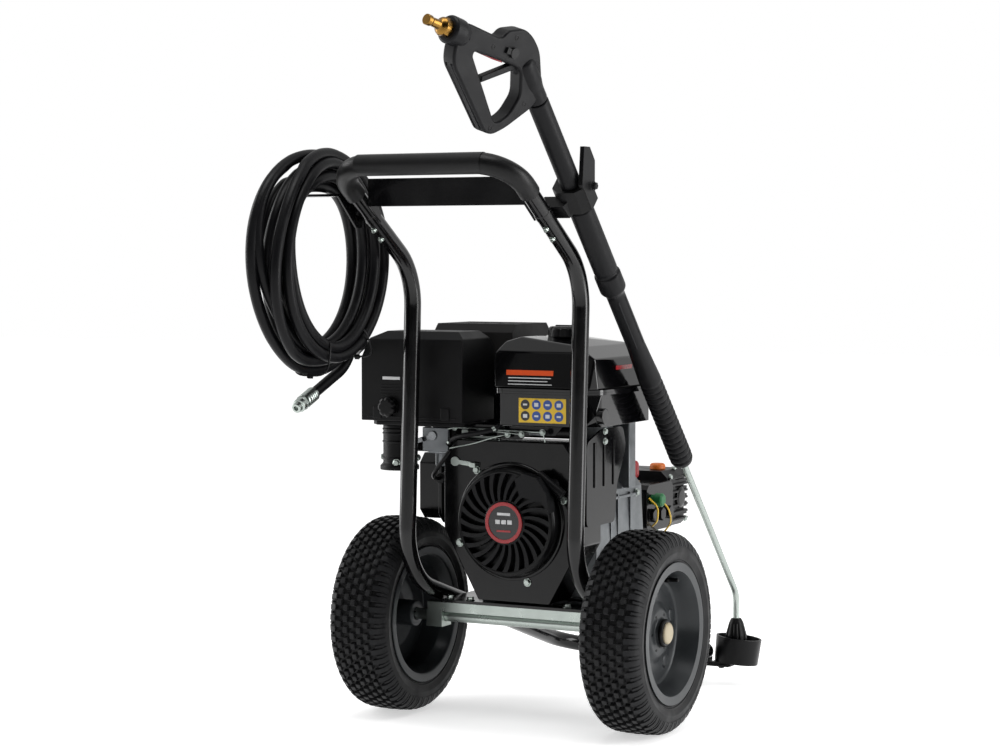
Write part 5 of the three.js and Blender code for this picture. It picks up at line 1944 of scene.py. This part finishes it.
@dataclass
class Lance:
    """The trigger gun and lance, the cradle that holds it and the cup that takes its nozzle."""

    corner: Vector = field(default_factory=lambda: at(191.5, -374, 1063.0))
    along: Vector = field(default_factory=lambda: Vector((0, 0.68664, -0.72703)))
    handle_way: Vector = field(default_factory=lambda: Vector((-0.24071, -0.94278, 0.23068)))
    ribs: int = 15
    rib_pitch: float = 12.0

    def lance_at(self, distance: float) -> Vector:
        """Returns a place on the lance's middle line."""
        return self.corner + self.along * distance * MM

    def gun_axes(self) -> tuple[Vector, Vector, Vector]:
        """Returns the directions back along the handle, down to the guard, and across."""
        back = self.handle_way.normalized()
        down = (self.along - back * self.along.dot(back)).normalized()
        return back, down, back.cross(down)

    def gun_point(self, back: float, down: float, across: float = 0.0) -> Vector:
        """Returns a place in the gun's own plane."""
        a, b, c = self.gun_axes()
        return self.corner + (a * back + b * down + c * across) * MM

    def gun_shell(self) -> None:
        """Moulds the gun's two-sided shell, with its barrel and collar."""
        outline = [
            (142, -15), (62, -14), (55, -28), (24, -41), (2, -36), (-22, -21), (-48, 18), (-56, 40),
            (-48, 62), (-12, 104), (8, 120), (26, 121), (133, 49), (142, 26),
        ]
        hole = [(102, 19), (30, 15), (2, 16), (-16, 51), (-8, 83), (11, 104), (102, 26)]
        a, b, _ = self.gun_axes()
        shape = rounded_plate([outline, hole], self.corner, a, b, 13.0, 4.0)
        turned(
            filleted([(0, 4), (17, 4), (19, 14), (19, 44), (16.4, 58), (16.4, 81.7), (0, 81.7)], 5),
            self.corner, self.along, 48, into=shape,
        )
        turned(
            filleted([(0, 124), (17, 124), (21, 133), (21, 155), (18, 158), (0, 158)], 4),
            self.gun_point(0, 4), a, 48, into=shape,
        )
        keep("gun_body_made", shape, GUN_NYLON, "lance", ["gun_body"], crease=44)

    def gun(self) -> None:
        """Dresses the gun, with its screws, red insert and guard ridges."""
        self.gun_shell()
        dress("trigger", GUN_NYLON, "gun_trigger", width=1.6)
        dress("trigger_latch", NYLON, "gun_latch", width=0.8)
        a, b, c = self.gun_axes()
        insert = block(self.gun_point(64, 15.6), (44, 2.6, 19), (a, b, c), 0.8)
        keep("gun_insert", insert, RED_PLASTIC, "lance")
        screws = bmesh.new()
        for back, down in ((124, 6), (72, 2), (34, -24), (-32, 24), (-30, 60), (18, 112)):
            for side in (-1, 1):
                place = self.gun_point(back, down, side * 12.4)
                turned(filleted([(0, 0), (4, 0), (4, 0.9), (2.6, 1.1), (2.2, 0.4), (0, 0.4)], 0.3),
                       place, c * side, 20, into=screws)
        keep("gun_screws", screws, NYLON, "lance")
        ridges = bmesh.new()
        for across in (-6, 6):
            piped([self.gun_point(132, 49.2, across), self.gun_point(30, 119.0, across)], 1.0, 8,
                  into=ridges)
        keep("gun_ridges", ridges, GUN_NYLON, "lance")
        nipple = filleted(
            [(0, 0), (13, 0), (13.5, 12), (11, 15), (7, 18), (6.5, 34), (8, 36), (8, 44), (0, 44)],
            1.0, 3,
        )
        shape = turned(nipple, self.gun_point(158.3, 4), a, 48)
        turned([(0, 2), (14, 2), (14.4, 3), (14.4, 10), (14, 11), (0, 11)],
               self.gun_point(158.3, 4), a, 6, into=shape)
        keep("gun_inlet_made", shape, BRASS, "lance", ["gun_inlet"], crease=30)

    def sleeve(self) -> None:
        """Moulds the sleeve: plain, then a collar, a slim waist and the ribbed grip."""
        profile = [
            (0, 0), (16.5, 0), (16.5, 213.9), (19.5, 216), (19.5, 346), (18.2, 349), (18.2, 353),
            (21.5, 356), (21.5, 388), (16, 397), (15.4, 402), (15.4, 470), (15.4, 518), (19, 600),
        ]
        for i in range(self.ribs):
            start = 606 + i * self.rib_pitch
            crest = 19.2 + 0.8 * i / self.ribs
            profile += [(crest - 1.9, start), (crest, start + 3), (crest, start + 9),
                        (crest - 1.9, start + 12)]
        profile += [(20, 790), (16.5, 800), (6, 801), (0, 801)]
        shape = turned(filleted(profile, 2.2, 3), self.lance_at(82), self.along, 48)
        first, second, _ = square_to(self.along)
        for turn in range(0, 360, 60):
            spoke = first * math.cos(math.radians(turn)) + second * math.sin(math.radians(turn))
            piped([self.lance_at(82 + 408) + spoke * 15.0 * MM,
                   self.lance_at(82 + 512) + spoke * 15.0 * MM], 1.5, 8, into=shape)
        keep("lance_sleeve_made", shape, GUN_NYLON, "lance", ["lance_sleeve"],
             round_all_over=True)

    def tube_and_nozzle(self) -> None:
        """Bends the plated tube and moulds the fluted nozzle guard."""
        route = bent_route([self.lance_at(829), at(191.5, 476, 163), at(191.5, 476, 120.3)], 45, 14)
        keep("lance_tube_made", piped(route, 5.75, 28), ZINC, "lance",
             ["lance_tube"], round_all_over=True)

        def flute(radius: float, along: float, turn: float) -> float:
            """Returns the radius with ten ribs that die out at the top."""
            share = min(1.0, max(0.0, (along - 6) / 12))
            return radius - 2.2 * share * max(0.0, math.cos(10 * turn)) if radius > 12 else radius

        profile = filleted(
            [(0, 0), (9, 0), (13, 8), (19, 30), (20, 50), (14, 50), (13, 38), (0, 38)], 1.5, 4
        )
        shape = turned(profile, at(191.5, 476, 120), -UP, 120, flute=flute)
        keep("nozzle_made", shape, NYLON, "lance", ["nozzle"])

    def holder(self) -> None:
        """Dresses the cradle and the cup, and bolts them on."""
        dress("lance_holder", NYLON, width=2.0, steps=3, sharper_than=30)
        dress("nozzle_cup", NYLON, width=1.0, sharper_than=40)
        bolts = bmesh.new()
        hexagon_head(at(222.4, -188, 880), ALONG_X, 12, bolts)
        hexagon_head(at(178, 440, 39.2), -UP, 11, bolts)
        keep("holder_bolts", bolts, NYLON, crease=30)

    def build(self) -> None:
        """Makes the gun, lance, cradle and cup."""
        self.gun()
        self.sleeve()
        self.tube_and_nozzle()
        self.holder()
        log.info("lance: gun, sleeve, tube, nozzle, cradle and cup")


def main() -> None:
    """Builds the machine piece by piece."""
    logging.basicConfig(level=logging.INFO)
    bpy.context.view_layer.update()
    Studio().build()
    Hose().build()
    for assembly in (
        TubeFrame(), Wheels(), Engine(), FuelTank(), AirCleaner(), Controls(), Pump(), Lance()
    ):
        assembly.build()


if __name__ == "__main__":
    main()
